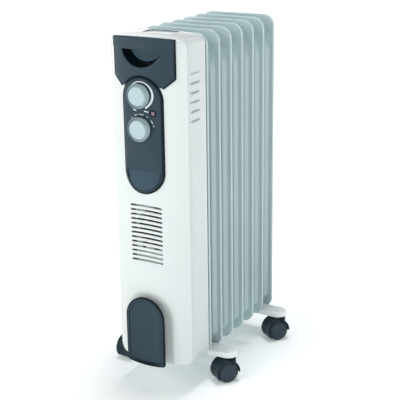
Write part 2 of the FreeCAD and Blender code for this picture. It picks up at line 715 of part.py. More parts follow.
def make_cord_gland():
    """Moulded bush in the floor of the box, where the supply cord enters."""
    wall = d.housing_wall
    profile = [(d.gland_bore, -3), (9, -3), (9, 0), (6, 0), (6, wall), (9, wall), (9, wall + 3),
               (6.5, wall + 12), (d.gland_bore, wall + 12)]
    return node("cord_gland", turned("cord_gland", profile, d.gland_across, d.gland_deep, d.box_low, "z"))


make_cord_tongue()
make_cord_gland()


# ---------------------------------------------------------------- foot brackets

RIM_GAP = d.rim_depth + (d.fin_pitch - d.rim_depth) / 2
FRONT_BRACKET = d.fin_first + RIM_GAP
REAR_BRACKET = d.fin_first + d.fin_pitch * (d.fin_count - 2) + RIM_GAP


def make_bracket(name, middle):
    """Inverted channel with round ends, between two fins."""
    half, wide = d.bracket_half, d.bracket_width / 2

    def bar(label, inset, low, top):
        radius = wide - inset
        reach = half - wide
        return fuse(label, block(label + "_middle", (-reach, middle - radius, low), (reach, middle + radius, top)),
                    *[rod(label + "_end", "z", (x, middle, low), radius, top - low) for x in (-reach, reach)])

    outer = bar(name + "_outer", 0, d.bracket_low, d.bracket_top)
    inner = bar(name + "_inner", d.bracket_sheet, d.bracket_low - 1, d.bracket_top - d.bracket_sheet)
    holes = [rod(name + "_stem_hole", "z", (x, middle, d.bracket_low), 7, 20)
             for x in (-d.stem_across, d.stem_across)]
    holes += [rod(name + "_bolt_hole", "z", (x, middle, d.bracket_low), d.bolt_rod + 0.2, 20)
              for x in (-d.bolt_bend, d.bolt_bend)]
    return node(name, cut(name, outer, inner, *holes))


def make_u_bolt(middle):
    """Bent rod over the lower duct; its threaded legs pass through the bracket."""
    arch = doc.addObject("Part::Torus", "bolt_arch")
    arch.Angle3 = 180
    bind(arch, Radius1=d.bolt_bend, Radius2=d.bolt_rod)
    put(arch, 0, middle, d.duct_low, turn=TURNS["front"])
    legs_low = d.bracket_low - 9
    bolt_legs = [rod("bolt_leg", "z", (x, middle, legs_low), d.bolt_rod, d.duct_low - legs_low)
                 for x in (-d.bolt_bend, d.bolt_bend)]
    return fuse("u_bolt", arch, *bolt_legs)


def make_wing_nut(x, middle):
    top = d.bracket_top - d.bracket_sheet
    hub = rod("nut_hub", "z", (x, middle, top - 8), 6, 8)
    wings = block("nut_wings", (x - 13, middle - 1.2, top - 10), (x + 13, middle + 1.2, top - 2))
    return cut("wing_nut", fuse("nut_blank", hub, wings), rod("nut_bore", "z", (x, middle, top - 12),
                                                             d.bolt_rod, 14))


def make_stem_socket(x, middle):
    """Steel sleeve pressed into the bracket, in which a caster stem turns."""
    profile = [(d.stem_radius + d.running, -8), (7, -8), (7, 0), (9.5, 0), (9.5, 1.2),
               (d.stem_radius + d.running, 1.2)]
    return turned("stem_socket", profile, x, middle, d.bracket_top, "z")


make_bracket("front_foot_bracket", FRONT_BRACKET)
make_bracket("rear_foot_bracket", REAR_BRACKET)
node("u_bolts", group("u_bolts", [make_u_bolt(y) for y in (FRONT_BRACKET, REAR_BRACKET)]))
node("wing_nuts", group("wing_nuts", [make_wing_nut(x, y) for x in (-d.bolt_bend, d.bolt_bend)
                                      for y in (FRONT_BRACKET, REAR_BRACKET)]))
node("stem_sockets", group("stem_sockets", [make_stem_socket(x, y) for x in (-d.stem_across, d.stem_across)
                                            for y in (FRONT_BRACKET, REAR_BRACKET)]))


# ---------------------------------------------------------------- casters

HOOD_START = -5
HOOD_SWEEP = 222
STEM_TOP = d.bracket_top + 1.2


def make_caster(label, side, middle, angle):
    """A twin-wheel caster; its parts are drawn about the stem and turned back to its rest direction."""
    turn = FreeCAD.Rotation(Vector(0, 0, 1), -angle.value)
    x, y = d.stem_across * side, middle

    def settle(name, item):
        put(item, x, y, 0, turn=turn)
        return node(name, item)

    def hood_sector(name, radius, half):
        sector = doc.addObject("Part::Cylinder", name)
        sector.Angle = HOOD_SWEEP
        bind(sector, Radius=radius, Height=half * 2)
        lie = FreeCAD.Rotation(Vector(0, 1, 0), 90) * FreeCAD.Rotation(Vector(0, 0, 1), 90)
        start = FreeCAD.Rotation(Vector(1, 0, 0), HOOD_START)
        return put(sector, -half, -d.trail, d.wheel_radius, turn=start * lie)

    inner_radius = d.hood_radius - d.hood_wall
    space = rod("hood_space", "x", (-d.hood_half - 1, -d.trail, d.wheel_radius), inner_radius, d.hood_half * 2 + 2)
    fender = cut("fender", hood_sector("fender_sector", d.hood_radius, d.hood_half), space)
    boss = cut("boss", rod("boss_solid", "z", (0, 0, d.wheel_radius + 1), 8, 23.5), space)
    web_ring = hood_sector("web_sector", inner_radius + 0.5, as_size(2.5))
    web_disc = rod("web_disc", "x", (-2.5, -d.trail, d.wheel_radius), 15, 5)
    stem = rod("stem", "z", (0, 0, d.wheel_radius + 20), d.stem_radius, STEM_TOP - d.wheel_radius - 20)
    hood = fuse("hood_blank", fender, boss, web_ring, web_disc, stem)
    axle_hole = rod("axle_hole", "x", (-4, -d.trail, d.wheel_radius), d.axle, 8)
    settle(f"caster_{label}_hood", cut("hood", hood, axle_hole))

    axle_half = d.wheel_inset + d.wheel_width - 3
    axle = rod("axle_pin", "x", (-axle_half, -d.trail, d.wheel_radius), d.axle, axle_half * 2)
    settle(f"caster_{label}_axle", group("axle", [axle]))

    wheel, wide, inset = d.wheel_radius, d.wheel_width, d.wheel_inset
    bore, outside = d.axle + d.running, inset + wide
    for place, way in (("outer", side), ("inner", -side)):
        profile = [(bore, inset), (wheel - 1, inset), (wheel, inset + 1), (wheel, outside - 3),
                   (wheel - 1, outside - 1.6), (wheel - 4, outside - 0.4), (0, outside),
                   (0, outside - 2.8), (bore, outside - 2.8)]
        disc = turned("wheel_turned", profile, 0, -d.trail, wheel, "x")
        if way < 0:
            disc.Placement.Rotation = FreeCAD.Rotation(Vector(0, 1, 0), -90)
        settle(f"caster_{label}_{place}_wheel", group("wheel", [disc]))


for end, middle in (("front", FRONT_BRACKET), ("rear", REAR_BRACKET)):
    make_caster(f"{end}_right", 1, middle, d.turn_right)
    make_caster(f"{end}_left", -1, middle, d.turn_left)


# ---------------------------------------------------------------- checks and export

def check_and_export():
    """Stop on any broken object, then write one file for each sub-part."""
    doc.recompute()
    broken = [item.Name for item in doc.Objects if {"Invalid", "Error"} & set(item.State)]
    if broken:
        raise RuntimeError(f"objects with errors: {broken}")
    os.makedirs("parts", exist_ok=True)
    for name, item in NODES.items():
        shape = item.Shape
        if shape.isNull() or not shape.isValid() or not shape.Solids:
            raise RuntimeError(f"{name} has no valid solid")
        shape.exportStep(f"parts/{name}.step")
        bounds = shape.BoundBox
        print(f"{name}: {len(shape.Solids)} solid, {shape.Volume / 1000:.2f} cm3, "
              f"y {bounds.YMin:.1f} to {bounds.YMax:.1f}, z {bounds.ZMin:.1f} to {bounds.ZMax:.1f}")
    print(len(NODES), "sub-parts")


check_and_export()
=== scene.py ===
import json
from math import asin, atan2, copysign, cos, degrees, hypot, pi, radians, sin, sqrt, tan

import bmesh
import bpy
from mathutils import Matrix, Vector


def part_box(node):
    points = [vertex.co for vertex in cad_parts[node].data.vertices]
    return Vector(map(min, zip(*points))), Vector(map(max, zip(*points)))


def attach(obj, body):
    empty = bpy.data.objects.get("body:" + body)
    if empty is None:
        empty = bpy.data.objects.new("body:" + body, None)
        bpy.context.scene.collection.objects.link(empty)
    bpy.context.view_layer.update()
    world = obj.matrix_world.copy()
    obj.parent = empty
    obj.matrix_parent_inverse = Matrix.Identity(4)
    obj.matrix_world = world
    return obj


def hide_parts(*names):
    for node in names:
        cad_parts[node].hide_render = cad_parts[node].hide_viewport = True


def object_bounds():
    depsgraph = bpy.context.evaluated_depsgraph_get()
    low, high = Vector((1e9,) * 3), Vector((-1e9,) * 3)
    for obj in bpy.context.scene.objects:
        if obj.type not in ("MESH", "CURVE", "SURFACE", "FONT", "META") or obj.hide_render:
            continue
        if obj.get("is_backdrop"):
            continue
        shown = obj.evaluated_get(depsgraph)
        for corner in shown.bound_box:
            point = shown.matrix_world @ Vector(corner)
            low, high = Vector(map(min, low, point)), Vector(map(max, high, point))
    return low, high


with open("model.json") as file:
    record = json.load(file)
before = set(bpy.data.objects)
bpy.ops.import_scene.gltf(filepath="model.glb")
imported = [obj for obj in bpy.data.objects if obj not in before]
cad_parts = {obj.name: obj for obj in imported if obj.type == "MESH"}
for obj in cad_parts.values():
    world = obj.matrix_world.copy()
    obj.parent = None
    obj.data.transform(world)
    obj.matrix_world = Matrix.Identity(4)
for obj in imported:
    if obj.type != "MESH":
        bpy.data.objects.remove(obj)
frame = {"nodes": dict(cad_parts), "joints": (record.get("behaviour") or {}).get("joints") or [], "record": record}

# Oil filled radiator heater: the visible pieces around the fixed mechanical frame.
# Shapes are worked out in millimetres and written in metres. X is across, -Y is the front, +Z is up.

bl_info = {
    "name": "Oil filled radiator heater",
    "version": (1, 0, 0),
    "blender": (4, 5, 0),
    "location": "View3D > Sidebar > Heater",
    "description": "Builds the fins, control box, knobs, fan and casters of an oil filled radiator heater",
    "category": "Object",
}

MM = 0.001
CAD_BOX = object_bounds()


def span(*names):
    """Lowest and highest corner of some CAD nodes together, in millimetres."""
    boxes = [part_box(name) for name in names]
    low = Vector([min(b[0][i] for b in boxes) / MM for i in range(3)])
    high = Vector([max(b[1][i] for b in boxes) / MM for i in range(3)])
    return low, high


COVER_LOW, COVER_HIGH = span("front_cover")
STRIP_LOW, STRIP_HIGH = span("control_strip")
PANEL_LOW, PANEL_HIGH = span("handle_panel")
BAR_LOW, BAR_HIGH = span("handle_bar")
TONGUE_LOW, TONGUE_HIGH = span("cord_tongue")
HOUSING_LOW, HOUSING_HIGH = span("control_housing")
FAN_LOW, FAN_HIGH = span("fan_frame")
WELL_LOW, WELL_HIGH = span("carry_well")

MOON_CENTRE = 621.0
THERMOSTAT_HEIGHT, SELECTOR_HEIGHT = 535.7, 480.2
LAMP_ACROSS, LAMP_HEIGHT = 23, 507
STEM_ACROSS, BOLT_ACROSS = 106, 23.2
LOUVRES, LOUVRE_LOW, LOUVRE_PITCH = 6, 492, 15.8
SCOOP_CREASE, SCOOP_TOP, SCOOP_HALF = 406.0, 455.0, 32.5
BARREL = 125.0
BARREL_AXIS = COVER_LOW.y + BARREL
BOX_CORNER = 13.0


def barrel(x, proud=0.0):
    """Y of a surface that stands proud of the barrel front."""
    return BARREL_AXIS - sqrt((BARREL + proud) ** 2 - x * x)


def skin(proud):
    """The whole surface that stands proud of the barrel front by one height."""
    return lambda u, v: barrel(u, proud)


def level(y):
    """The plane at one distance along Y."""
    return lambda u, v: y


def smooth(value, low, high):
    """0 below low, 1 above high, and an even curve between them."""
    t = min(1.0, max(0.0, (value - low) / (high - low)))
    return t * t * (3 - 2 * t)


def steps(start, end, count):
    """Evenly spaced values from start to end, both included."""
    return [start + (end - start) * i / count for i in range(count + 1)]


# ---------------------------------------------------------------- forms

class Form:
    """Points and faces of a piece in the making, in millimetres."""

    def __init__(self):
        self.points = []
        self.faces = []

    def loop(self, points):
        start = len(self.points)
        self.points += [tuple(p) for p in points]
        return list(range(start, len(self.points)))

    def bridge(self, first, second, closed=True):
        count = len(first)
        for i in range(count if closed else count - 1):
            j = (i + 1) % count
            self.faces.append((first[i], first[j], second[j], second[i]))

    def chain(self, loops, closed=True, ring=False):
        for first, second in zip(loops, loops[1:]):
            self.bridge(first, second, closed)
        if ring:
            self.bridge(loops[-1], loops[0], closed)

    def fan(self, loop):
        middle = [sum(self.points[i][k] for i in loop) / len(loop) for k in range(3)]
        centre = self.loop([middle])[0]
        for i, index in enumerate(loop):
            self.faces.append((index, loop[(i + 1) % len(loop)], centre))

    def tube(self, loops):
        """A tube of loops with both its ends fanned shut."""
        self.chain(loops)
        self.fan(loops[0])
        self.fan(loops[-1])

    def rod(self, loops):
        """A tube of loops with one flat face at either end."""
        self.chain(loops)
        self.faces += [tuple(loops[0]), tuple(reversed(loops[-1]))]

    def bar(self, loops):
        """A ring of open loops, closed at both their ends."""
        self.chain(loops, closed=False, ring=True)
        self.faces += [tuple(loop[end] for loop in loops) for end in (0, -1)]

    def frame(self, outline, section, start=0.0):
        """A closed ring of loops: an outline moved outwards by each offset, at each depth behind the start."""
        self.chain([self.loop([(u, start + y, v) for u, v in outline.ring(offset)]) for offset, y in section],
                   ring=True)

    def part(self, name, slot, angle=32):
        """The mesh in one finish."""
        return painted(self.mesh(name, angle), slot)

    def mesh(self, name, angle=32):
        """A Blender mesh with merged points, outward faces and sharp edges above an angle."""
        data = bpy.data.meshes.new(name)
        data.from_pydata([[c * MM for c in p] for p in self.points], [], self.faces)
        build = bmesh.new()
        build.from_mesh(data)
        bmesh.ops.remove_doubles(build, verts=build.verts, dist=0.00001)
        bmesh.ops.dissolve_degenerate(build, edges=build.edges, dist=0.000001)
        bmesh.ops.recalc_face_normals(build, faces=build.faces)
        build.to_mesh(data)
        build.free()
        finish_shading(data, angle)
        return data


def finish_shading(data, angle=32):
    data.shade_smooth()
    data.set_sharp_from_angle(angle=radians(angle))


class Outline:
    """A grid over a rounded rectangle in its own u and v, with its edge points and outward directions."""

    def __init__(self, half, low, top, low_radius, top_radius, us, vs):
        self.half, self.low, self.top = half, low, top
        self.low_radius, self.top_radius = low_radius, top_radius
        self.rows = [[self.place(u, v) for u in us] for v in vs]
        last_row, last_column = len(vs) - 1, len(us) - 1
        self.edge = [(0, c) for c in range(last_column)]
        self.edge += [(r, last_column) for r in range(last_row)]
        self.edge += [(last_row, c) for c in range(last_column, 0, -1)]
        self.edge += [(r, 0) for r in range(last_row, 0, -1)]

    def corner(self, v):
        """Which end a height belongs to, that end's corner radius, and the height of its corners' centres."""
        if v < (self.low + self.top) / 2:
            return -1, self.low_radius, self.low + self.low_radius
        return 1, self.top_radius, self.top - self.top_radius

    def place(self, u, v):
        """Bend the corners of the rectangle round."""
        up, radius, core_v = self.corner(v)
        core_u = self.half - radius
        a = (abs(u) - core_u) / radius
        b = up * (v - core_v) / radius
        if a <= 0 or b <= 0:
            return (u, v)
        scale = max(a, b) / hypot(a, b)
        return (copysign(1, u) * (core_u + radius * a * scale), core_v + up * radius * b * scale)

    def outward(self, u, v):
        """Direction from the outline's core to an edge point."""
        up, radius, core_v = self.corner(v)
        a = max(0.0, abs(u) - (self.half - radius))
        b = max(0.0, up * (v - core_v))
        away = hypot(a, b)
        if away < 1e-6:
            return (copysign(1, u), 0.0)
        return (copysign(a / away, u), up * b / away)

    def ring(self, offset):
        """The edge moved outwards by an offset."""
        points = []
        for row, column in self.edge:
            u, v = self.rows[row][column]
            du, dv = self.outward(u, v)
            points.append((u + du * offset, v + dv * offset))
        return points


def rounded(half, low, top, radius, columns, rows):
    """A rounded rectangle over an even grid."""
    return Outline(half, low, top, radius, radius, steps(-half, half, columns), steps(low, top, rows))


def plate(form, outline, front, rim, back):
    """A closed plate: a front surface, rim rings of (offset, depth) and a back surface."""
    grids = []
    for surface in (front, back):
        rows = [form.loop([(u, surface(u, v), v) for u, v in row]) for row in outline.rows]
        form.chain(rows, closed=False)
        grids.append([rows[r][c] for r, c in outline.edge])
    loops = [grids[0]]
    for offset, depth in rim:
        loops.append(form.loop([(u, depth(u, v), v) for u, v in outline.ring(offset)]))
    loops.append(grids[1])
    form.chain(loops)


def lathe(form, profile, place, segments=48):
    """Turn a profile of (radius, distance) about an axis; place puts (a, b, distance) in space."""
    loops = []
    for radius, along in profile:
        if radius == 0:
            loops.append(None)
            continue
        ring = []
        for i in range(segments):
            angle = 2 * pi * i / segments
            ring.append(place(radius * cos(angle), radius * sin(angle), along))
        loops.append(form.loop(ring))
    for index, (first, second) in enumerate(zip(loops, loops[1:])):
        if first is not None and second is not None:
            form.bridge(first, second)
        elif first is not None or second is not None:
            ring = second if first is None else first
            along = profile[index][1] if first is None else profile[index + 1][1]
            centre = form.loop([place(0, 0, along)])[0]
            for i, vertex in enumerate(ring):
                form.faces.append((vertex, ring[(i + 1) % len(ring)], centre))


def cylinder(form, radius, length, place, segments=32):
    """A plain cylinder with closed ends."""
    lathe(form, [(0, 0), (radius, 0), (radius, length), (0, length)], place, segments)


def about_x(y, z, way=1):
    """Places lathe points about an axis along X."""
    return lambda a, b, along: (way * along, y + a, z + b)


def about_y(x, z, y, way=-1):
    """Places lathe points about an axis along Y; distances run towards -Y by default."""
    return lambda a, b, along: (x + a, y + way * along, z + b)


def about_z(x, y, z):
    """Places lathe points about an upright axis."""
    return lambda a, b, along: (x + a, y + b, z + along)


def ribbon(form, path, section):
    """Sweep a section of (offset to the left of the path, proud of the barrel) along a path across X and Z."""
    sides = []
    for i in range(len(path)):
        (x0, z0), (x1, z1) = path[max(0, i - 1)], path[min(len(path) - 1, i + 1)]
        length = hypot(x1 - x0, z1 - z0)
        sides.append(((z0 - z1) / length, (x1 - x0) / length))
    loops = []
    for offset, proud in section:
        spots = [(x + dx * offset, z + dz * offset) for (x, z), (dx, dz) in zip(path, sides)]
        loops.append(form.loop([(x, barrel(x, proud), z) for x, z in spots]))
    form.bar(loops)


def crown(data):
    """Arch the top of the box: the middle rises, the corners stay."""
    for point in data.vertices:
        x, z = point.co.x / MM, point.co.z / MM
        point.co.z += (2.6 - 2.9 * (x / 57) ** 2) * smooth(z, 600, 628) * MM
    return data


def block(form, first, last, edge=0.8):
    """A box between two opposite corners, with small bevels on all edges."""
    low, high = Vector(map(min, first, last)), Vector(map(max, first, last))
    build = bmesh.new()
    bmesh.ops.create_cube(build, size=1)
    for vertex in build.verts:
        vertex.co = Vector([(low[i] + high[i]) / 2 + vertex.co[i] * (high[i] - low[i]) for i in range(3)])
    bmesh.ops.bevel(build, geom=build.edges, offset=edge, segments=2, profile=0.5, affect="EDGES")
    start = len(form.points)
    build.verts.index_update()
    form.points += [tuple(v.co) for v in build.verts]
    form.faces += [tuple(start + v.index for v in f.verts) for f in build.faces]
    build.free()


def linked(name, data):
    """A new object in the scene."""
    item = bpy.data.objects.new(name, data)
    bpy.context.scene.collection.objects.link(item)
    return item


def carve(data, cutters):
    """Cut one mesh with another form and return the new mesh."""
    base = linked("carve_base", data)
    tool = linked("carve_tool", cutters.mesh("carve_tool"))
    step = base.modifiers.new("carve", "BOOLEAN")
    step.operation = "DIFFERENCE"
    step.solver = "EXACT"
    step.object = tool
    result = evaluated_mesh(base)
    for item in (base, tool):
        bpy.data.objects.remove(item)
    build = bmesh.new()
    build.from_mesh(result)
    bmesh.ops.remove_doubles(build, verts=build.verts, dist=0.00002)
    bmesh.ops.dissolve_degenerate(build, edges=build.edges, dist=0.000002)
    build.to_mesh(result)
    build.free()
    finish_shading(result)
    return result


def evaluated_mesh(item):
    """The mesh of an object with its modifiers worked out."""
    graph = bpy.context.evaluated_depsgraph_get()
    graph.update()
    return bpy.data.meshes.new_from_object(item.evaluated_get(graph), depsgraph=graph)


# ---------------------------------------------------------------- repeats by Geometry Nodes

def new_tree(name, sizes):
    """A geometry tree with a geometry input, named sizes and a material."""
    tree = bpy.data.node_groups.new(name, "GeometryNodeTree")
    face = tree.interface
    face.new_socket("Geometry", in_out="INPUT", socket_type="NodeSocketGeometry")
    for label, kind, value in sizes:
        socket = face.new_socket(label, in_out="INPUT", socket_type=kind)
        socket.default_value = value
    face.new_socket("Material", in_out="INPUT", socket_type="NodeSocketMaterial")
    face.new_socket("Geometry", in_out="OUTPUT", socket_type="NodeSocketGeometry")
    return tree, tree.nodes.new("NodeGroupInput"), tree.nodes.new("NodeGroupOutput")


def wire(tree, *pairs):
    for source, target in pairs:
        tree.links.new(source, target)


def end_tree(tree, source, entry, leave):
    """Realize the instances and set the material."""
    real = tree.nodes.new("GeometryNodeRealizeInstances")
    paint = tree.nodes.new("GeometryNodeSetMaterial")
    wire(tree, (source, real.inputs[0]), (real.outputs[0], paint.inputs["Geometry"]),
         (entry.outputs["Material"], paint.inputs["Material"]), (paint.outputs[0], leave.inputs[0]))
    return tree


def row_tree():
    """Repeats a shape in a straight row."""
    tree, entry, leave = new_tree("row", [("Count", "NodeSocketInt", 2),
                                          ("Step", "NodeSocketVector", (0, 0, 0)),
                                          ("Start", "NodeSocketVector", (0, 0, 0))])
    line = tree.nodes.new("GeometryNodeMeshLine")
    line.mode = "OFFSET"
    copies = tree.nodes.new("GeometryNodeInstanceOnPoints")
    given = entry.outputs
    wire(tree, (given["Count"], line.inputs["Count"]), (given["Step"], line.inputs["Offset"]),
         (given["Start"], line.inputs["Start Location"]), (line.outputs[0], copies.inputs["Points"]),
         (given["Geometry"], copies.inputs["Instance"]))
    return end_tree(tree, copies.outputs[0], entry, leave)


def ring_tree():
    """Repeats a shape evenly about an axis along Y through a centre."""
    tree, entry, leave = new_tree("ring", [("Count", "NodeSocketInt", 8),
                                           ("Centre", "NodeSocketVector", (0, 0, 0))])
    dots = tree.nodes.new("GeometryNodePoints")
    index = tree.nodes.new("GeometryNodeInputIndex")
    share = tree.nodes.new("ShaderNodeMath")
    share.operation = "DIVIDE"
    turn = tree.nodes.new("ShaderNodeMath")
    turn.operation = "MULTIPLY"
    turn.inputs[1].default_value = 2 * pi
    axis = tree.nodes.new("ShaderNodeCombineXYZ")
    copies = tree.nodes.new("GeometryNodeInstanceOnPoints")
    given = entry.outputs
    wire(tree, (given["Count"], dots.inputs["Count"]), (given["Centre"], dots.inputs["Position"]),
         (index.outputs[0], share.inputs[0]), (given["Count"], share.inputs[1]),
         (share.outputs[0], turn.inputs[0]), (turn.outputs[0], axis.inputs["Y"]),
         (dots.outputs[0], copies.inputs["Points"]), (axis.outputs[0], copies.inputs["Rotation"]),
         (given["Geometry"], copies.inputs["Instance"]))
    return end_tree(tree, copies.outputs[0], entry, leave)


def repeat(tree, data, material, **sizes):
    """Run a repeat tree on a mesh and return the plain result."""
    data.materials.append(material)
    item = linked("repeat", data)
    step = item.modifiers.new("repeat", "NODES")
    step.node_group = tree
    for socket in tree.interface.items_tree:
        if socket.in_out == "INPUT" and socket.name in sizes:
            step[socket.identifier] = sizes[socket.name]
        if socket.in_out == "INPUT" and socket.name == "Material":
            step[socket.identifier] = material
    result = evaluated_mesh(item)
    bpy.data.objects.remove(item)
    finish_shading(result)
    return result


def joined(name, meshes):
    """One mesh from several, with their materials."""
    build = bmesh.new()
    data = bpy.data.meshes.new(name)
    for part in meshes:
        first = len(build.faces)
        build.from_mesh(part)
        build.faces.ensure_lookup_table()
        for material in part.materials:
            if material.name not in data.materials:
                data.materials.append(material)
        for i in range(first, len(build.faces)):
            face = build.faces[i]
            if part.materials:
                face.material_index = data.materials.find(part.materials[face.material_index].name)
    build.to_mesh(data)
    build.free()
    finish_shading(data)
    return data


# ---------------------------------------------------------------- sizes and colours a user may change

def length(name, about, value, low, high):
    return bpy.props.FloatProperty(name=name, description=about, default=value, min=low, max=high,
                                   unit="LENGTH")


class HeaterSizes(bpy.types.PropertyGroup):
    """Sizes of the details."""
    fin_roll: length("Fin edge", "Radius of the folded edge of a fin", 0.0012, 0.0003, 0.0015)
    fin_swell: length("Channel swell", "How far an oil channel stands out", 0.0058, 0.003, 0.007)
    cover_roll: length("Cover edge", "Radius of the front cover's edges", 0.0026, 0.001, 0.004)
    recess: length("Cord recess", "Depth of the recess behind the cord tongue", 0.0028, 0, 0.005)
    louvre_lift: length("Louvre lift", "How far a louvre lip stands out", 0.0032, 0.0005, 0.004)
    knob_ribs: bpy.props.IntProperty(name="Knob ribs", description="Grip ribs round one knob", default=40,
                                     min=12, max=72)
    blade_pitch: bpy.props.FloatProperty(name="Blade pitch", description="Twist of a fan blade at the hub",
                                         default=radians(38), min=radians(15), max=radians(50),
                                         subtype="ANGLE")
    print_height: length("Print height", "Thickness of the printed marks", 0.00018, 0.0001, 0.0005)


def colour(name, about, value):
    return bpy.props.FloatVectorProperty(name=name, description=about, default=value, size=3, min=0, max=1,
                                         subtype="COLOR")


class HeaterColours(bpy.types.PropertyGroup):
    """Colours of the paints and plastics."""
    shell: colour("Shell", "Glossy plastic of the control box", (0.64, 0.69, 0.69))
    fins: colour("Fins", "Baked enamel of the fins", (0.50, 0.63, 0.645))
    feet: colour("Feet", "Enamel of the foot brackets", (0.88, 0.93, 0.92))
    slate: colour("Slate", "Plastic of the panel, the strip and the tongue", (0.015, 0.038, 0.056))
    knobs: colour("Knobs", "Plastic of the two knobs", (0.42, 0.54, 0.57))
    # The dark colour is real black plastic on some parts and painted shade on the edge bands of the panel, strip,
    # tongue and pocket.
    dark: colour("Dark", "Plastic of the hoods and the dark edges", (0.005, 0.012, 0.018))
    wheels: colour("Wheels", "Plastic of the wheels", (0.024, 0.042, 0.060))
    lens: colour("Lens", "Plastic of the lamp lens", (0.21, 0.12, 0.16))
    marks: colour("Marks", "Ink of the printed marks", (0.72, 0.82, 0.84))


def size(name):
    """A size from the panel, in millimetres."""
    return getattr(bpy.context.scene.heater_sizes, name) / MM


def shade(name):
    """A colour from the panel, with its alpha."""
    return (*getattr(bpy.context.scene.heater_colours, name), 1)


# ---------------------------------------------------------------- finishes

class Signal:
    """A shader value that takes part in Python sums."""

    def __init__(self, finish, socket):
        self.finish, self.socket = finish, socket

    def sum(self, operation, first, second):
        return self.finish.add("ShaderNodeMath", {"operation": operation}, {0: first, 1: second})

    def __add__(self, other):
        return self.sum("ADD", self, other)

    def __sub__(self, other):
        return self.sum("SUBTRACT", self, other)

    def __mul__(self, other):
        return self.sum("MULTIPLY", self, other)

    __radd__ = __add__
    __rmul__ = __mul__


class Finish:
    """A material, and the one way its nodes are added."""

    def __init__(self, name, fixed):
        self.material = bpy.data.materials.new(name)
        self.material.use_nodes = True
        self.tree = self.material.node_tree
        self.shader = next(n for n in self.tree.nodes if n.type == "BSDF_PRINCIPLED")
        for label, value in fixed.items():
            self.shader.inputs[label].default_value = value
        self.place = self.add("ShaderNodeTexCoord", output="Object")

    def add(self, kind, settings=None, inputs=None, output=0):
        node = self.tree.nodes.new(kind)
        for key, value in (settings or {}).items():
            setattr(node, key, value)
        for key, value in (inputs or {}).items():
            if isinstance(value, Signal):
                self.tree.links.new(value.socket, node.inputs[key])
            else:
                node.inputs[key].default_value = value
        return Signal(self, node.outputs[output])

    def feed(self, label, signal):
        self.tree.links.new(signal.socket, self.shader.inputs[label])

    def noise(self, scale, detail=2, stretch=(1, 1, 1)):
        """Even random variation over the surface, with features about 1/scale of a metre wide."""
        at = self.place
        if stretch != (1, 1, 1):
            at = self.add("ShaderNodeMapping", None, {"Vector": at, "Scale": stretch})
        return self.add("ShaderNodeTexNoise", None, {"Vector": at, "Scale": scale, "Detail": detail})

    def between(self, mask, low, high):
        """Stretch a mask so that low becomes 0 and high becomes 1."""
        return self.add("ShaderNodeMapRange", None, {"Value": mask, "From Min": low, "From Max": high})

    def blend(self, mask, first, second):
        """One colour where the mask is 0 and another where it is 1."""
        return self.add("ShaderNodeMix", {"data_type": "RGBA"}, {0: mask, 6: first, 7: second}, output=2)

    def emboss(self, height, distance, strength=1.0):
        """Let a height in units of distance lift the surface."""
        self.feed("Normal", self.add("ShaderNodeBump", None, {"Height": height, "Strength": strength,
                                                              "Distance": distance}))


def darker(value, share):
    return (*[c * share for c in value[:3]], 1)


def moulded_gloss(name, base):
    """Injection-moulded plastic with a high polish, faint flow marks and light handling scuffs."""
    finish = Finish(name, {"Coat Weight": 0.25, "Coat Roughness": 0.08, "IOR": 1.5})
    cloud = finish.noise(5, 1)
    flow = finish.noise(30, 4, (1, 1, 0.15))
    finish.feed("Base Color", finish.blend(cloud, darker(base, 1.01), darker(base, 0.985)))
    finish.feed("Roughness", 0.25 + 0.05 * flow + 0.04 * cloud)
    finish.emboss(0.3 * flow + 0.5 * finish.noise(600), 0.00003, 0.5)
    return finish.material


def moulded_grain(name, base, roughness=0.4, grain=1500, depth=0.00005, shine=0.3):
    """Plastic from a spark-eroded mould: a fine even grain, with its tops painted lighter as a painted highlight.
    """
    finish = Finish(name, {"IOR": 1.47, "Specular IOR Level": shine})
    pits = finish.noise(grain, 1)
    cloud = finish.between(finish.noise(11, 3), 0.3, 0.7)
    painted_lit_tops = finish.between(pits, 0.45, 0.75)
    # Base colour: a painted highlight on the grain tops, and random cloud tone.
    finish.feed("Base Color", finish.blend(painted_lit_tops * 0.35 + cloud * 0.25, darker(base, 0.9), darker(base, 1.22)))
    finish.feed("Roughness", roughness + 0.08 * cloud - 0.06 * painted_lit_tops)
    finish.emboss(pits + 0.6 * finish.noise(grain * 0.3, 2), depth)
    return finish.material


def baked_enamel(name, base):
    """Powder enamel on pressed steel: orange peel, slight tone shifts and thinner paint here and there."""
    finish = Finish(name, {"Coat Weight": 0.35, "Coat Roughness": 0.12, "IOR": 1.5})
    peel = finish.noise(330, 2)
    cloud = finish.between(finish.noise(5, 3), 0.3, 0.7)
    finish.feed("Base Color", finish.blend(cloud + 0.2 * peel, darker(base, 1.03), darker(base, 0.93)))
    finish.feed("Roughness", 0.33 + 0.1 * peel + 0.04 * cloud)
    finish.emboss(peel + 0.3 * finish.noise(90), 0.00012, 0.6)
    return finish.material


def drawn_metal(name, base, roughness=0.32, stretch=(1, 1, 9)):
    """Plated steel with fine drawing lines and dull patches."""
    finish = Finish(name, {"Metallic": 1.0})
    lines = finish.noise(500, 3, stretch)
    patch = finish.between(finish.noise(45, 3), 0.35, 0.7)
    finish.feed("Base Color", finish.blend(patch, base, darker(base, 0.78)))
    finish.feed("Roughness", roughness + 0.14 * lines + 0.1 * patch)
    finish.emboss(lines, 0.00003, 0.6)
    return finish.material


def clear_tint(name, base):
    """Coloured see-through plastic, a little milky, with fine rings."""
    finish = Finish(name, {"Transmission Weight": 0.25, "IOR": 1.49, "Coat Weight": 0.4})
    milk = finish.noise(260, 3)
    finish.feed("Base Color", finish.blend(finish.between(milk, 0.3, 0.7), base, darker(base, 1.5)))
    finish.feed("Roughness", 0.14 + 0.12 * milk)
    rings = finish.add("ShaderNodeTexWave", {"wave_type": "RINGS"}, {"Vector": finish.place, "Scale": 220})
    finish.emboss(rings, 0.00004, 0.3)
    return finish.material


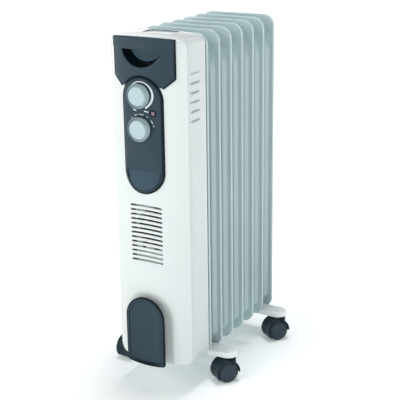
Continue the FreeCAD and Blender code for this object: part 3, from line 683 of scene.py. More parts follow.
def painted_glow_white(name, base):
    """White moulding inside the box that glows by its own emission: painted light in place of the daylight it
    would get through the slots.
    """
    finish = Finish(name, {"Roughness": 0.5, "Emission Strength": 0.32})
    cloud = finish.between(finish.noise(30, 3), 0.3, 0.7)
    tone = finish.blend(cloud, base, darker(base, 0.9))
    finish.feed("Base Color", tone)
    # Painted glow: the same tone is given out as emission.
    finish.feed("Emission Color", tone)
    return finish.material


def printed_ink(name, base):
    """Screen-printed ink: almost even, with a slightly open edge and a dry surface."""
    finish = Finish(name, {"IOR": 1.45})
    mesh = finish.noise(2600, 1)
    finish.feed("Base Color", finish.blend(finish.between(mesh, 0.3, 0.55), darker(base, 0.82), base))
    finish.feed("Roughness", 0.5 + 0.15 * mesh)
    finish.emboss(mesh, 0.00001)
    return finish.material


def layered_board(name, base):
    """Pressed mica board with flakes."""
    finish = Finish(name, {"IOR": 1.55})
    flakes = finish.add("ShaderNodeTexVoronoi", None, {"Vector": finish.place, "Scale": 420})
    finish.feed("Base Color", finish.blend(finish.between(flakes, 0.1, 0.6), darker(base, 1.3), base))
    finish.feed("Roughness", 0.4 + 0.25 * flakes)
    finish.emboss(flakes, 0.00006, 0.5)
    return finish.material


MATERIALS = {}


def finish_of(slot):
    return MATERIALS[slot]


def mix_finishes():
    grey = lambda value: (value, value, value, 1)
    MATERIALS.update({
        "white_shell": moulded_gloss("white_shell_gloss", shade("shell")),
        "fin_paint": baked_enamel("fin_enamel", shade("fins")),
        "bracket_paint": baked_enamel("foot_enamel", shade("feet")),
        "slate_plastic": moulded_grain("slate_grain", shade("slate"), 0.36),
        "knob_plastic": moulded_grain("knob_satin", shade("knobs"), 0.3, 1900, 0.00002),
        # Black plastic: real on the fan, hub and lamp ring, and painted shade on the edge bands and lines.
        "black_plastic": moulded_grain("black_grain", shade("dark"), 0.45, shine=0.1),
        "caster_plastic": moulded_grain("hood_grain", darker(shade("dark"), 1.8), 0.4, 1100, shine=0.2),
        "wheel_plastic": moulded_grain("wheel_grain", shade("wheels"), 0.38, 900),
        "plated_steel": drawn_metal("plated_steel", (0.52, 0.54, 0.55, 1)),
        "lamp_lens": clear_tint("lens_tint", shade("lens")),
        "lamp_glass": clear_tint("neon_glass", (0.75, 0.55, 0.42, 1)),
        "terminal_plastic": moulded_grain("terminal_grain", grey(0.62), 0.5),
        "mica_board": layered_board("mica_board", (0.38, 0.33, 0.25, 1)),
        "ink": printed_ink("mark_ink", shade("marks")),
        # A lighter copy of the slate: painted light on the finger-well disc and on the tab in the scoop below the
        # knobs.
        "slate_painted_light": moulded_grain("slate_light_grain", darker(shade("slate"), 1.5), 0.33),
        # The inner white glows by emission: painted light inside the fan frame and the lifting pocket.
        "inner_white": painted_glow_white("inner_white", shade("shell")),
        # A much lighter slate: a painted highlight on the lip of the finger-well disc.
        "slate_painted_highlight": moulded_grain("slate_rim_grain", darker(shade("slate"), 4), 0.3),
    })


# ---------------------------------------------------------------- putting pieces in the frame

def piece(name, data, body, slot, *nodes):
    """Show a mesh, or several as one, as a piece that rides on a body and stands for some CAD nodes."""
    if isinstance(data, list):
        data = joined(name, data)
    item = linked(name, data)
    if not data.materials:
        data.materials.append(finish_of(slot))
    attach(item, body)
    if nodes:
        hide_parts(*nodes)
    return item


def painted(data, slot):
    data.materials.clear()
    data.materials.append(finish_of(slot))
    return data


def softened(data, width, angle=40, segments=2):
    """A mesh with its sharp edges rounded."""
    item = linked("soften", data)
    step = item.modifiers.new("soften", "BEVEL")
    step.width = width * MM
    step.segments = segments
    step.limit_method = "ANGLE"
    step.angle_limit = radians(angle)
    step.miter_outer = "MITER_ARC"
    step.use_clamp_overlap = True
    result = evaluated_mesh(item)
    bpy.data.objects.remove(item)
    finish_shading(result, 35)
    return result


# ---------------------------------------------------------------- fins

FIN_FIRST = span("fin_1")[0].y
FIN_LOW, FIN_TOP = span("fin_2")[0].z, span("fin_2")[1].z
FIN_HALF = span("fin_2")[1].x
FIN_COUNT = 7
FIN_PITCH = 40.7
FIN_FRONT = -77.3
RIM_DEPTH, RIM_WALL, WEB = 5.0, 1.6, 2.4
DUCTS = (88.0, 573.0)


def round_gap(x, z, half_x, low, top, radius):
    """Distance outside (positive) a rounded rectangle across X and Z."""
    dx = abs(x) - (half_x - radius)
    dz = abs(z - (low + top) / 2) - ((top - low) / 2 - radius)
    return hypot(max(dx, 0), max(dz, 0)) + min(max(dx, dz), 0) - radius


def channel_share(x, z):
    """How full the oil channel is at a point of the fin: 0 on the flat web, 1 on its crest."""
    inside = -round_gap(x, z, 66, 66, 599, 14)
    window = round_gap(abs(x) - 33, z, 19, 110, 551, 17)
    depth = min(inside, window)
    if depth <= -1.5:
        return 0.0
    t = min(1.0, (depth + 1.5) / (8.5 + 16 * smooth(z, 556, 588)))
    return (t * t * (3 - 2 * t) * 0.55 + sin(t * pi / 2) * 0.45) if t < 1 else 1.0


def fin_lines():
    half = FIN_HALF - RIM_WALL
    near = [0, 3.5, 7, 9, 10.5, 12, 13.2, 14.4, 15.6, 17.5, 22, 27.5, 33, 38.5, 44, 48.5, 50.2, 51.4, 52.6,
            53.8, 55, 56.3, 57.6, 59, 60.4, 61.7, 63, 64.2, 65.3, 66.4, 67.5, 68.5, 70, 71.5, half]
    across = sorted({-x for x in near} | set(near))
    low = FIN_LOW + RIM_WALL
    top = FIN_TOP - RIM_WALL
    foot = [low, 52.5, 56, 59.5, 62, 64, 65, 66, 67.2, 68.6, 70, 71.5, 73, 75, 78, 82, 87, 92, 96, 99.5, 102,
            103.8, 105.5, 107, 108.2, 109.4, 110.6, 112, 114, 116.5, 120, 125, 130, 136]
    head = [525, 531, 536, 541, 545, 547.5, 549.4, 550.6, 551.8, 553, 554.4, 556, 557.8, 560, 564, 569, 574,
            579, 583, 586, 588.4, 590, 591.4, 592.8, 594, 595, 596, 597.5, 600, 603, 607, 611, 616, 621, top]
    middle = steps(150, 512, 16)
    return across, foot + middle + head


def neck_profile(start, end):
    """Profile of a duct neck drawn from the sheet: a soft root, a straight wall and a seam bead."""
    run = [(0, start), (26.5, start), (24.6, start + 0.5), (22.6, start + 1.6), (21.0, start + 3.6),
           (20.2, start + 6), (20.0, start + 8)]
    run += [(20.0, end - 1.8), (20.5, end - 1.3), (21.1, end - 0.7), (21.1, end), (19.4, end + 0.3),
            (17.5, end + 0.3), (0, end + 0.3)]
    return run


def fin_mesh(index):
    """One fin: two pressed sheets, a folded rim, and the necks of the two oil ducts."""
    front = FIN_FRONT + FIN_PITCH * index
    swell = size("fin_swell")
    roll = size("fin_roll")
    across, up = fin_lines()
    outline = Outline(FIN_HALF - RIM_WALL, FIN_LOW + RIM_WALL, FIN_TOP - RIM_WALL, 18.4, 18.4, across, up)
    share = {}

    def lift(x, z):
        key = (round(abs(x), 3), round(z, 3))
        if key not in share:
            share[key] = channel_share(x, z)
        return share[key] * swell

    at = lambda y: level(front + y)
    rim = [(RIM_WALL - roll, at(0)), (RIM_WALL - roll * 0.62, at(roll * 0.08)),
           (RIM_WALL - roll * 0.29, at(roll * 0.29)), (RIM_WALL - roll * 0.08, at(roll * 0.62)),
           (RIM_WALL, at(roll)), (RIM_WALL, at(RIM_DEPTH - 0.5)),
           (RIM_WALL - 0.25, at(RIM_DEPTH - 0.1)), (RIM_WALL - 0.6, at(RIM_DEPTH)), (0.5, at(RIM_DEPTH)),
           (0.15, at(RIM_DEPTH - 0.2)), (0, at(RIM_DEPTH - 0.6)), (0, at(WEB + 0.5))]
    form = Form()
    plate(form, outline, lambda u, v: front - lift(u, v), rim, lambda u, v: front + WEB + lift(u, v))
    reach = (FIN_PITCH - WEB) / 2 - swell
    for height in DUCTS:
        start = front - swell + 0.6
        length = reach + 0.6 if index else start - FIN_FIRST - 0.3
        lathe(form, neck_profile(0, length), about_y(0, height, start, -1), 40)
        start = front + WEB + swell - 0.6
        if index < FIN_COUNT - 1:
            lathe(form, neck_profile(0, reach + 0.6), about_y(0, height, start, 1), 40)
    return form.mesh(f"fin_{index + 1}_sheets")


class HEATER_OT_fins(bpy.types.Operator):
    """Presses the seven fins and closes the ducts of the last one"""
    bl_idname = "heater.fins"
    bl_label = "Fins"

    def execute(self, context):
        for index in range(FIN_COUNT):
            piece(f"fin_{index + 1}_panel", fin_mesh(index), "heater", "fin_paint", f"fin_{index + 1}")
        for node, height in (("rear_lower_cap", DUCTS[0]), ("rear_upper_cap", DUCTS[1])):
            low, high = span(node)
            depth = high.y - low.y
            radius = (high.x - low.x) / 2
            form = Form()
            lathe(form, [(0, 0), (radius + 1.2, 0), (radius + 0.9, 0.8), (radius, 1.3), (radius, depth - 2.2),
                         (radius - 0.6, depth - 0.9), (radius - 1.9, depth - 0.15), (radius - 3.6, depth),
                         (radius - 5.5, depth), (radius - 6.3, depth - 0.9), (6, depth - 1.1), (0, depth - 1.1)],
                  about_y(0, height, low.y, 1), 56)
            piece(node + "_disc", form.mesh(node + "_disc"), "heater", "fin_paint", node)
        return {"FINISHED"}


# ---------------------------------------------------------------- control box

SEAM = -134.0
TONGUE_CENTRE = TONGUE_HIGH.z - 39.0


def recess_share(x, z):
    """How deep the soft recess behind the cord tongue is, from 0 to 1."""
    reach = hypot(x, max(0.0, z - TONGUE_CENTRE)) if z > TONGUE_CENTRE else abs(x)
    return 1 - smooth(reach, 38, 47)


def cover_mesh():
    """The barrel front with rolled edges, the cord recess, the fan slots and the finger opening."""
    roll = size("cover_roll")
    deep = size("recess")
    half = COVER_HIGH.x - roll
    low, top = COVER_LOW.z + roll, COVER_HIGH.z - roll
    across = sorted(steps(-half, half, 38) + [0])
    up = steps(low, 215, 46) + steps(222, top, 52)
    outline = Outline(half, low, top, BOX_CORNER - roll, BOX_CORNER - roll, across, up)

    def outside(u, v):
        return barrel(u) + deep * recess_share(u, v)

    def inside(u, v):
        return barrel(u, -2.5) + deep * recess_share(u, v)

    rim = []
    for turn in (22, 45, 68, 90):
        out, back = roll * sin(radians(turn)), roll * (1 - cos(radians(turn)))
        rim.append((out, lambda u, v, back=back: outside(max(-half, min(half, u)), v) + back))
    rim += [(roll, level(SEAM - 0.9)), (roll - 0.25, level(SEAM - 0.25)),
            (roll - 0.8, level(SEAM)), (0.6, level(SEAM)), (0.2, level(SEAM - 0.3))]
    form = Form()
    plate(form, outline, outside, rim, inside)
    cutters = Form()
    grille_low, pitch = 244.0, 8.2
    near = [0, 6, 12, 18, 24, 28, 30.2, 31.1, 31.5]
    for i in range(13):
        loops = []
        for x in [-x for x in near[:0:-1]] + near:
            middle = grille_low + pitch * i + 2.6 * (1 - (x / 31.5) ** 2)
            tall = 1.8 * sqrt(1 - max(0, abs(x) - 30.2) ** 2 / 1.9)
            corners = ((-170, -tall), (-140, -tall), (-140, tall), (-170, tall))
            loops.append(cutters.loop([(x, y, middle + up) for y, up in corners]))
        cutters.rod(loops)
    shell = carve(form.mesh("cover_blank"), cutters)
    opening = Form()
    moon = arc(0, MOON_CENTRE, 42.9, 180, 360, 40)
    moon += [(42.9, 624.9), (-42.9, 624.9)]
    prism(opening, moon, -170, -128)
    shell = carve(shell, opening)
    return crown(softened(shell, 0.45, 48))


def prism(form, outline, near, far):
    """A straight prism between two distances along Y, from points across X and Z."""
    form.rod([form.loop([(x, y, z) for x, z in outline]) for y in (near, far)])


class HEATER_OT_cover(bpy.types.Operator):
    """Moulds the front cover"""
    bl_idname = "heater.cover"
    bl_label = "Front cover"

    def execute(self, context):
        piece("front_cover_shell", cover_mesh(), "heater", "white_shell", "front_cover")
        return {"FINISHED"}


def louvre_form(side):
    """One pressed louvre lip: it leans out of the side wall and shades the gap above it."""
    form = Form()
    wall = HOUSING_HIGH.x * side
    lift = size("louvre_lift") * side
    front, back = -132.0, -101.0
    loops = []
    for share in (0, 0.03, 0.09, 0.18, 0.82, 0.91, 0.97, 1):
        y = front + (back - front) * share
        swell = smooth(min(share, 1 - share), 0, 0.16)
        section = [(-0.4 * side, -6.9), (lift * 0.1 * swell, -6.3), (lift * 0.55 * swell, -5.8),
                   (lift * 0.9 * swell, -5.2), (lift * swell, -4.5), (lift * 0.92 * swell, -3.5),
                   (lift * 0.66 * swell, -2.2), (lift * 0.3 * swell, -0.9), (-0.7 * side, -0.1),
                   (-1.9 * side, 0.2), (-1.9 * side, -0.8), (-0.6 * side, -1.6)]
        loops.append(form.loop([(wall + x, y, z) for x, z in section]))
    form.tube(loops)
    return form


class HEATER_OT_housing(bpy.types.Operator):
    """Moulds the back half of the control box with its louvres and the lifting pocket"""
    bl_idname = "heater.housing"
    bl_label = "Housing"

    def execute(self, context):
        low, high = HOUSING_LOW, HOUSING_HIGH
        shape = rounded(high.x, low.z, high.z, BOX_CORNER, 44, 96)
        front, back = low.y, high.y
        section = [(-0.7, front), (-0.2, front + 0.2), (0, front + 0.7), (0, front + 12), (0, back - 12),
                   (0, back - 0.9), (-0.25, back - 0.25), (-0.9, back), (-1.5, back), (-2, back - 0.5),
                   (-2, back - 12), (-2, front + 12), (-2, front + 0.4), (-1.6, front)]
        form = Form()
        form.frame(shape, section)
        cutters = Form()
        for side in (-1, 1):
            for i in range(LOUVRES):
                middle = LOUVRE_LOW + LOUVRE_PITCH * i
                block(cutters, (side * (high.x - 4), -131.5, middle - 0.9),
                      (side * (high.x + 2), -101.5, middle + 0.4), 0.5)
        block(cutters, (-29, -113, high.z - 5), (29, -85, high.z + 3), 2.6)
        shell = softened(carve(form.mesh("housing_blank"), cutters), 0.5, 48)
        parts = [painted(shell, "white_shell")]
        tree = row_tree()
        for side in (-1, 1):
            lip = louvre_form(side).mesh("louvre_lip")
            parts.append(repeat(tree, lip, finish_of("white_shell"), Count=LOUVRES,
                                Step=(0, 0, LOUVRE_PITCH * MM), Start=(0, 0, LOUVRE_LOW * MM)))
        inner = Form()
        block(inner, (-60, back - 2, 595.8), (60, back - 0.2, 626.4), 0.4)
        block(inner, (-60, back - 2, 56.8), (60, back - 0.2, 65.2), 0.4)
        for side in (-1, 1):
            block(inner, (side * (high.x - 1.8), -99, 58), (side * (high.x + 0.5), back - 0.3, 69.8), 0.7)
        parts.append(inner.part("housing_lips", "white_shell"))
        piece("control_housing_shell", crown(joined("control_housing_shell", parts)), "heater", "white_shell",
              "control_housing")
        self.pocket()
        return {"FINISHED"}

    def pocket(self):
        """The cup of the lifting pocket, white with a painted glow, and a dark band of painted shade round its
        mouth.
        """
        low, high = WELL_LOW, WELL_HIGH
        form = Form()
        block(form, low, (high.x, high.y, high.z - 0.1), 2.4)
        space = Form()
        block(space, (-29, -113, low.z + 2), (29, -85, high.z + 6), 3.2)
        cup = painted(softened(carve(form.mesh("pocket_cup"), space), 0.6, 50), "inner_white")
        # A black band round the mouth of the pocket: painted shade where the far inner wall lies in shadow.
        shade_band = Form()
        rings = []
        shape = rounded(28.9, -112.9, -85.1, 2.6, 16, 12)
        for offset, z in ((0.2, 626.9), (0.2, 627.7), (0, 627.95), (-0.5, 627.9), (-0.7, 627.6), (-0.7, 626.9)):
            rings.append(shade_band.loop([(u, v, z) for u, v in shape.ring(offset)]))
        shade_band.chain(rings, ring=True)
        parts = [cup, shade_band.part("pocket_seal", "black_plastic")]
        piece("carry_pocket_cup", crown(joined("carry_pocket_cup", parts)), "heater", "white_shell", "carry_well")


# ---------------------------------------------------------------- panel, grip bar and finger well

def skin_form(half, low, top, inner, outer, step=2.0):
    """A plain sheet that follows the barrel, cut to its outline later."""
    form = Form()
    across = steps(-half, half, max(8, int(2 * half / step)))
    up = steps(low, top, 6)
    grids = []
    for proud in (outer, inner):
        rows = [form.loop([(x, barrel(x, proud), z) for x in across]) for z in up]
        form.chain(rows, closed=False)
        edge = rows[0][:-1] + [r[-1] for r in rows[:-1]] + rows[-1][:0:-1] + [r[0] for r in rows[:0:-1]]
        grids.append(edge)
    form.bridge(grids[0], grids[1])
    return form


def cut_to(data, outline):
    """Keep the part of a mesh inside a prism drawn across X and Z."""
    outer, hole, waste = Form(), Form(), Form()
    prism(outer, [(-130, 30), (130, 30), (130, 700), (-130, 700)], -200, -110)
    prism(hole, outline, -205, -105)
    rest = carve(outer.mesh("waste"), hole)
    waste.points = [[c / MM for c in point.co] for point in rest.vertices]
    waste.faces = [tuple(f.vertices) for f in rest.polygons]
    return carve(data, waste)


def arc(x, z, radius, start, end, count):
    return [(x + radius * cos(radians(a)), z + radius * sin(radians(a))) for a in steps(start, end, count)]


STRIP_HALF = STRIP_HIGH.x
STRIP_TOP_CENTRE = STRIP_HIGH.z - STRIP_HALF


class HEATER_OT_panel(bpy.types.Operator):
    """Moulds the handle panel, the grip bar with its blank badge, and the finger well"""
    bl_idname = "heater.panel"
    bl_label = "Handle panel"

    def execute(self, context):
        self.panel()
        self.bar()
        self.well()
        return {"FINISHED"}

    def panel(self):
        half, low, top = PANEL_HIGH.x, PANEL_LOW.z, PANEL_HIGH.z
        gap = 40.7
        rise = low - STRIP_TOP_CENTRE
        angle = degrees(asin(rise / gap))
        corner = [(half, low + 15.6), (half - 0.9, low + 14.2), (half - 17, low + 0.7), (half - 18.2, low)]
        outline = [(half, top), (-half, top)] + [(-x, z) for x, z in corner]
        outline += arc(0, STRIP_TOP_CENTRE, gap, 180 - angle, angle, 40) + corner[::-1]
        sheet = cut_to(skin_form(half + 4, low - 6, top, 0.12, 2.4).mesh("panel_blank"), outline)
        opening = Form()
        moon = arc(0, MOON_CENTRE, 40.4, 180, 360, 48) + [(40.4, 624), (-40.4, 624)]
        prism(opening, moon, -180, -120)
        sheet = painted(softened(carve(sheet, opening), 0.7, 45, 3), "slate_plastic")
        # Black bands along the arc over the strip, the sides and the top: painted shade in the gaps round the
        # panel.
        shade_edging = Form()
        ribbon(shade_edging, arc(0, STRIP_TOP_CENTRE, gap, 180 - angle - 3, angle + 3, 40),
               [(-2.3, 0.2), (-2.3, 0.9), (0.9, 0.9), (1.3, 2.3), (1.9, 2.45), (1.9, 0.2)])
        side = [(half, z) for z in (top, 605, 590, 575)] + corner
        section = ((2.2, 0.2), (2.2, 2.5), (1.6, 2.55), (-0.4, 2.3), (-0.7, 1.9), (-0.7, 0.2))
        for way in (-1, 1):
            ribbon(shade_edging, [(x * way, z) for x, z in side], [(offset * way, proud) for offset, proud in section])
        ribbon(shade_edging, [(x, top - 0.1) for x in steps(-half, half, 24)],
               [(0, 2.6), (0.2, 2.4), (0.2, 0), (0, -0.2), (-2, 0)])
        parts = [sheet, shade_edging.part("panel_edging", "black_plastic")]
        piece("handle_panel_skin", crown(joined("handle_panel_skin", parts)), "heater", "slate_plastic",
              "handle_panel")

    def bar(self):
        half, low, top = BAR_HIGH.x, BAR_LOW.z + 2.3, BAR_HIGH.z
        edge = 1.3
        outline = Outline(half - edge, low + edge, top - edge, 1.2, 1.2, steps(-half + edge, half - edge, 60),
                          [low + edge, 611.6, 613, 614.5, 616, 619, 621.5, 623.2, 624.6, 625.6, top - edge])

        def front(u, v):
            return barrel(u, 5.2 + 0.7 * smooth(v, 622.8, 626) - 0.25 * smooth(-v, -613, -610.6))

        rim = [(edge * 0.45, lambda u, v: front(u, v) + 0.12), (edge * 0.85, lambda u, v: front(u, v) + 0.5),
               (edge, lambda u, v: front(u, v) + 1.2), (edge, skin(2.9)), (edge - 0.3, skin(2.5))]
        form = Form()
        plate(form, outline, front, rim, skin(2.5))
        parts = [form.part("grip_bar", "slate_plastic")]
        badge = Form()
        plate(badge, rounded(13.4, 613.4, 620.4, 3, 20, 8), skin(5.55),
              [(0.4, skin(5.5)), (0.6, skin(5.3)), (0.6, skin(5.0))], skin(4.9))
        parts.append(badge.part("bar_badge", "wheel_plastic"))
        piece("grip_bar", crown(joined("grip_bar", parts)), "heater", "slate_plastic", "handle_bar")

    def well(self):
        centre, outer, inner, disc = MOON_CENTRE, 42.4, 40.4, 33.0
        ceiling = 624.4
        back = span("finger_well")[1].y
        form = Form()
        loops = []
        for radius, y in ((outer, -159.2), (outer, back), (disc + 0.2, back), (disc + 0.2, back - 1),
                          (inner - 1.5, back - 1), (inner - 0.4, back - 2), (inner, back - 4), (inner, -159.2)):
            points = []
            for x, z in arc(0, centre, radius, 175, 365, 56):
                points.append((x, max(y, barrel(x, -0.15)), min(z, ceiling)))
            loops.append(form.loop(points))
        form.bar(loops)
        parts = [form.part("well_cup", "black_plastic")]

        def half_rings(form, section):
            """Half rings, cut off level at the ceiling."""
            return [form.loop([(x, y, min(z, ceiling)) for x, z in arc(0, centre, radius, 174, 366, 56)])
                    for radius, y in section]

        cap = Form()
        front = back - 7
        loops = half_rings(cap, ((disc - 0.6, back - 0.4), (disc - 0.6, front + 0.9), (disc - 2, front + 1.1),
                                 (disc * 0.8, front + 1.2), (disc * 0.3, front + 1.4), (0.5, front + 1.5)))
        cap.chain(loops, closed=False)
        cap.faces.append(tuple(loop[0] for loop in loops) + tuple(loop[-1] for loop in reversed(loops)))
        cap.faces.append(tuple(reversed(loops[0])))
        # The disc is painted in the lighter slate: painted light on a face that lies deep in the well.
        parts.append(cap.part("well_disc", "slate_painted_light"))
        # The lip round the disc is painted in the light slate: a painted highlight on its edge.
        lip = Form()
        lip.bar(half_rings(lip, ((disc, back - 0.4), (disc, front + 0.7), (disc - 0.3, front + 0.1),
                                 (disc - 0.9, front), (disc - 1.5, front + 0.4), (disc - 1.7, front + 1.4))))
        parts.append(lip.part("well_lip", "slate_painted_highlight"))
        piece("finger_well_cup", parts, "heater", "slate_plastic", "finger_well")


# ---------------------------------------------------------------- control strip and its marks

def strip_front(x, z):
    """Face of the control strip, with the dished scoop below the knobs."""
    face = barrel(x, 4.2)
    crease, arch, wide = SCOOP_CREASE, SCOOP_TOP, SCOOP_HALF
    if z >= crease:
        across = min(1.0, abs(x) / wide)
        roof = crease + (arch - crease) * sqrt(max(0.0, 1 - across * across))
        reach = (roof - z) / (arch - crease) if roof > crease else -1
        dish = smooth(reach, -0.02, 1.1) * 3.9
    else:
        dish = 3.7 * max(0.0, 1 - (crease - z) / wide) * (1 - smooth(hypot(x, crease - z), wide - 1.5, wide + 1))
    return face + dish


class HEATER_OT_strip(bpy.types.Operator):
    """Moulds the control strip and prints the scale and the marks on it"""
    bl_idname = "heater.strip"
    bl_label = "Control strip"

    def execute(self, context):
        self.strip()
        self.marks()
        return {"FINISHED"}

    def strip(self):
        inset = 5.0
        half = STRIP_HALF - inset
        low, top = STRIP_LOW.z + inset, STRIP_HIGH.z - inset
        across = sorted(set([round(v, 4) for v in steps(-half, half, 40)] + [-31, -29, -30, 29, 30, 31]))
        up = steps(low, 402, 16) + [403.5, 404.7, 405.6, 406.0, 406.4, 407.5, 409] + steps(411.5, 458, 22)
        up += steps(463, top, 30)
        outline = Outline(half, low, top, half, half, across, up)
        rim = [(0.6, skin(4.1)), (1.1, skin(3.9)), (1.7, skin(3.7)), (2.2, skin(3.3)), (2.4, skin(2.0))]
        form = Form()
        plate(form, outline, strip_front, rim, skin(0.12))
        face = form.part("strip_face", "slate_plastic", 28)
        # A black skirt round the strip and a black line along the scoop's crease: painted shade in the gap and the
        # groove.
        shade_skirt = Form()
        loops = []
        edge = rounded(STRIP_HALF, STRIP_LOW.z, STRIP_HIGH.z, STRIP_HALF, 40, 60)
        for offset, proud in ((-2.8, 0.12), (-2.8, 3.1), (-2.1, 3.3), (-0.8, 3.1), (0.1, 2.6), (0.5, 1.7),
                              (0.5, 0.12)):
            loops.append(shade_skirt.loop([(u, barrel(u, proud), v) for u, v in edge.ring(offset)]))
        shade_skirt.chain(loops, ring=True)
        ribbon(shade_skirt, arc(0, SCOOP_CREASE, 33, 180, 360, 40), [(-0.7, 3), (-0.6, 4.28), (0.6, 4.28), (0.7, 3)])
        shade_rim_mesh = shade_skirt.part("strip_skirt", "black_plastic")
        # A thin half-disc tab in the lighter slate: painted light on the lower half of the scoop.
        tab = Form()
        tab.bar([tab.loop([(x, strip_front(x, z) + lift, z) for x, z in arc(0, 405.6, radius, 180, 360, 40)])
                 for lift, radii in ((-0.15, (0.1, 8, 16, 24, 28, 30.5, 32)), (0.5, (32.2, 28, 16, 0.1)))
                 for radius in radii])
        holes = Form()
        for height in (THERMOSTAT_HEIGHT, SELECTOR_HEIGHT):
            cylinder(holes, 4.2, 40, about_y(0, height, -140))
        cylinder(holes, 3.9, 40, about_y(LAMP_ACROSS, LAMP_HEIGHT, -140))
        parts = [painted(carve(face, holes), "slate_plastic"), shade_rim_mesh,
                 tab.part("strip_tab", "slate_painted_light")]
        piece("control_strip_face", parts, "heater", "slate_plastic", "control_strip")

    def marks(self):
        form = Form()
        height = size("print_height")
        middle, reach = 478.8, 25.2

        def band(x, z, start, end, inner, outer, count):
            rows = []
            for proud in (4.1, 4.2 + height):
                for radius in (inner, outer):
                    points = []
                    for i, angle in enumerate(steps(start, end, count)):
                        r = radius(i / count)
                        a = radians(angle)
                        points.append((x + r * cos(a), barrel(x + r * cos(a), proud), z + r * sin(a)))
                    rows.append(form.loop(points))
            form.bar([rows[0], rows[1], rows[3], rows[2]])

        flat_at = lambda value: (lambda share: value)
        band(0, THERMOSTAT_HEIGHT, 172, -65, lambda s: 20.9 + 1.0 * smooth(s, 0, 0.5) - 1.3 * smooth(s, 0.5, 0.9),
             lambda s: 22.1 + 1.4 * smooth(s, 0, 0.4) + 1.4 * smooth(s, 0.35, 0.7) - 1.2 * smooth(s, 0.7, 1), 60)
        for start, end in ((118, 104), (96, 77), (41, 26)):
            band(0, middle, start, end, flat_at(24.7), flat_at(25.8), 8)
        for angle in (133.5, 60, 16.6):
            a = radians(angle)
            band(reach * cos(a), middle + reach * sin(a), 0, 360, flat_at(0.05), flat_at(0.95), 16)
        for x, z, length, tilt in ((-11.4, 510.6, 3.4, -12), (11.1, 509.6, 3.9, -8)):
            slope = tan(radians(tilt))
            rows = []
            for proud in (4.1, 4.2 + height):
                for up in (-0.75, 0.75):
                    rows.append(form.loop([(x + s, barrel(x + s, proud), z + s * slope + up)
                                           for s in (-length, -length / 3, length / 3, length)]))
            form.bar([rows[0], rows[1], rows[3], rows[2]])
        piece("scale_marks", form.part("scale_marks", "ink"), "heater", "slate_plastic")


# ---------------------------------------------------------------- knobs and lamp

class HEATER_OT_knobs(bpy.types.Operator):
    """Turns the two ribbed knobs and seats the lamp lens"""
    bl_idname = "heater.knobs"
    bl_label = "Knobs and lamp"

    def execute(self, context):
        tree = ring_tree()
        for name, body in (("thermostat_knob", "thermostat_dial"), ("selector_knob", "selector_dial")):
            low, high = span(name)
            centre = (low.z + high.z) / 2
            radius, depth = (high.x - low.x) / 2, high.y - low.y
            profile = [(0, 0.2), (radius - 1, 0.2), (radius - 0.25, 0.35), (radius, 0.9), (radius - 0.15, 1.7),
                       (radius - 0.75, 2.6), (radius - 1.7, 5), (radius - 2.75, 7.7), (radius - 3.3, 9.3),
                       (radius - 3.75, 10.3), (radius - 4.4, 10.85), (radius - 5.2, 11), (radius - 6.2, 10.95),
                       (radius - 7.4, 10.6), (radius - 11, 10.25), (4, 10.05), (0, 10.0)]
            form = Form()
            lathe(form, profile, about_y(0, centre, high.y, -1), 96)
            parts = [form.part(name + "_body", "knob_plastic")]
            rib = Form()
            block(rib, (-0.42, -(depth - 2.2), radius - 4.2), (0.42, -1.4, radius - 1.9), 0.28)
            tilted = rib.mesh("knob_rib")
            lean = Matrix.Rotation(radians(-18.5), 4, "X")
            pivot = Vector((0, -2.0 * MM, (radius - 2.5) * MM))
            tilted.transform(Matrix.Translation(pivot) @ lean @ Matrix.Translation(-pivot))
            tilted.transform(Matrix.Translation((0, 0, 1.7 * MM)))
            parts.append(repeat(tree, tilted, finish_of("knob_plastic"), Centre=(0, high.y * MM, centre * MM),
                                Count=bpy.context.scene.heater_sizes.knob_ribs))
            pointer = Form()
            block(pointer, (-0.7, low.y + 0.1, centre + radius - 11.6), (0.7, low.y + 1.2, centre + radius - 5.6),
                  0.35)
            parts.append(pointer.part("knob_pointer", "knob_plastic"))
            piece(name + "_grip", parts, body, "knob_plastic", name)
        self.lamp()
        return {"FINISHED"}

    def lamp(self):
        low, high = span("indicator_lens")
        x, z = (low.x + high.x) / 2, (low.z + high.z) / 2
        face = barrel(x, 4.2)
        form = Form()
        lathe(form, [(0, 0), (3.75, 0), (3.75, high.y - face + 0.2), (3.5, high.y - face + 0.7),
                     (2.9, high.y - face + 1.15), (1.9, high.y - face + 1.5), (0.9, high.y - face + 1.65),
                     (0, high.y - face + 1.7)], about_y(x, z, high.y, -1), 40)
        piece("lamp_lens_dome", form.part("lamp_lens_dome", "lamp_lens"), "heater", "lamp_lens",
              "indicator_lens")
        ring = Form()
        loops = []
        for radius, proud in ((3.95, 3.4), (3.95, 4.75), (4.3, 5.0), (5.3, 4.95), (5.8, 4.6), (6.0, 4.1),
                              (5.6, 3.4)):
            loops.append(ring.loop([(x + radius * cos(a), barrel(x + radius * cos(a), proud), z + radius * sin(a))
                                    for a in [2 * pi * i / 40 for i in range(40)]]))
        ring.chain(loops, ring=True)
        piece("lamp_ring", ring.part("lamp_ring", "black_plastic"), "heater", "black_plastic")


# ---------------------------------------------------------------- booster fan

FAN_CENTRE = (FAN_LOW.z + FAN_HIGH.z) / 2


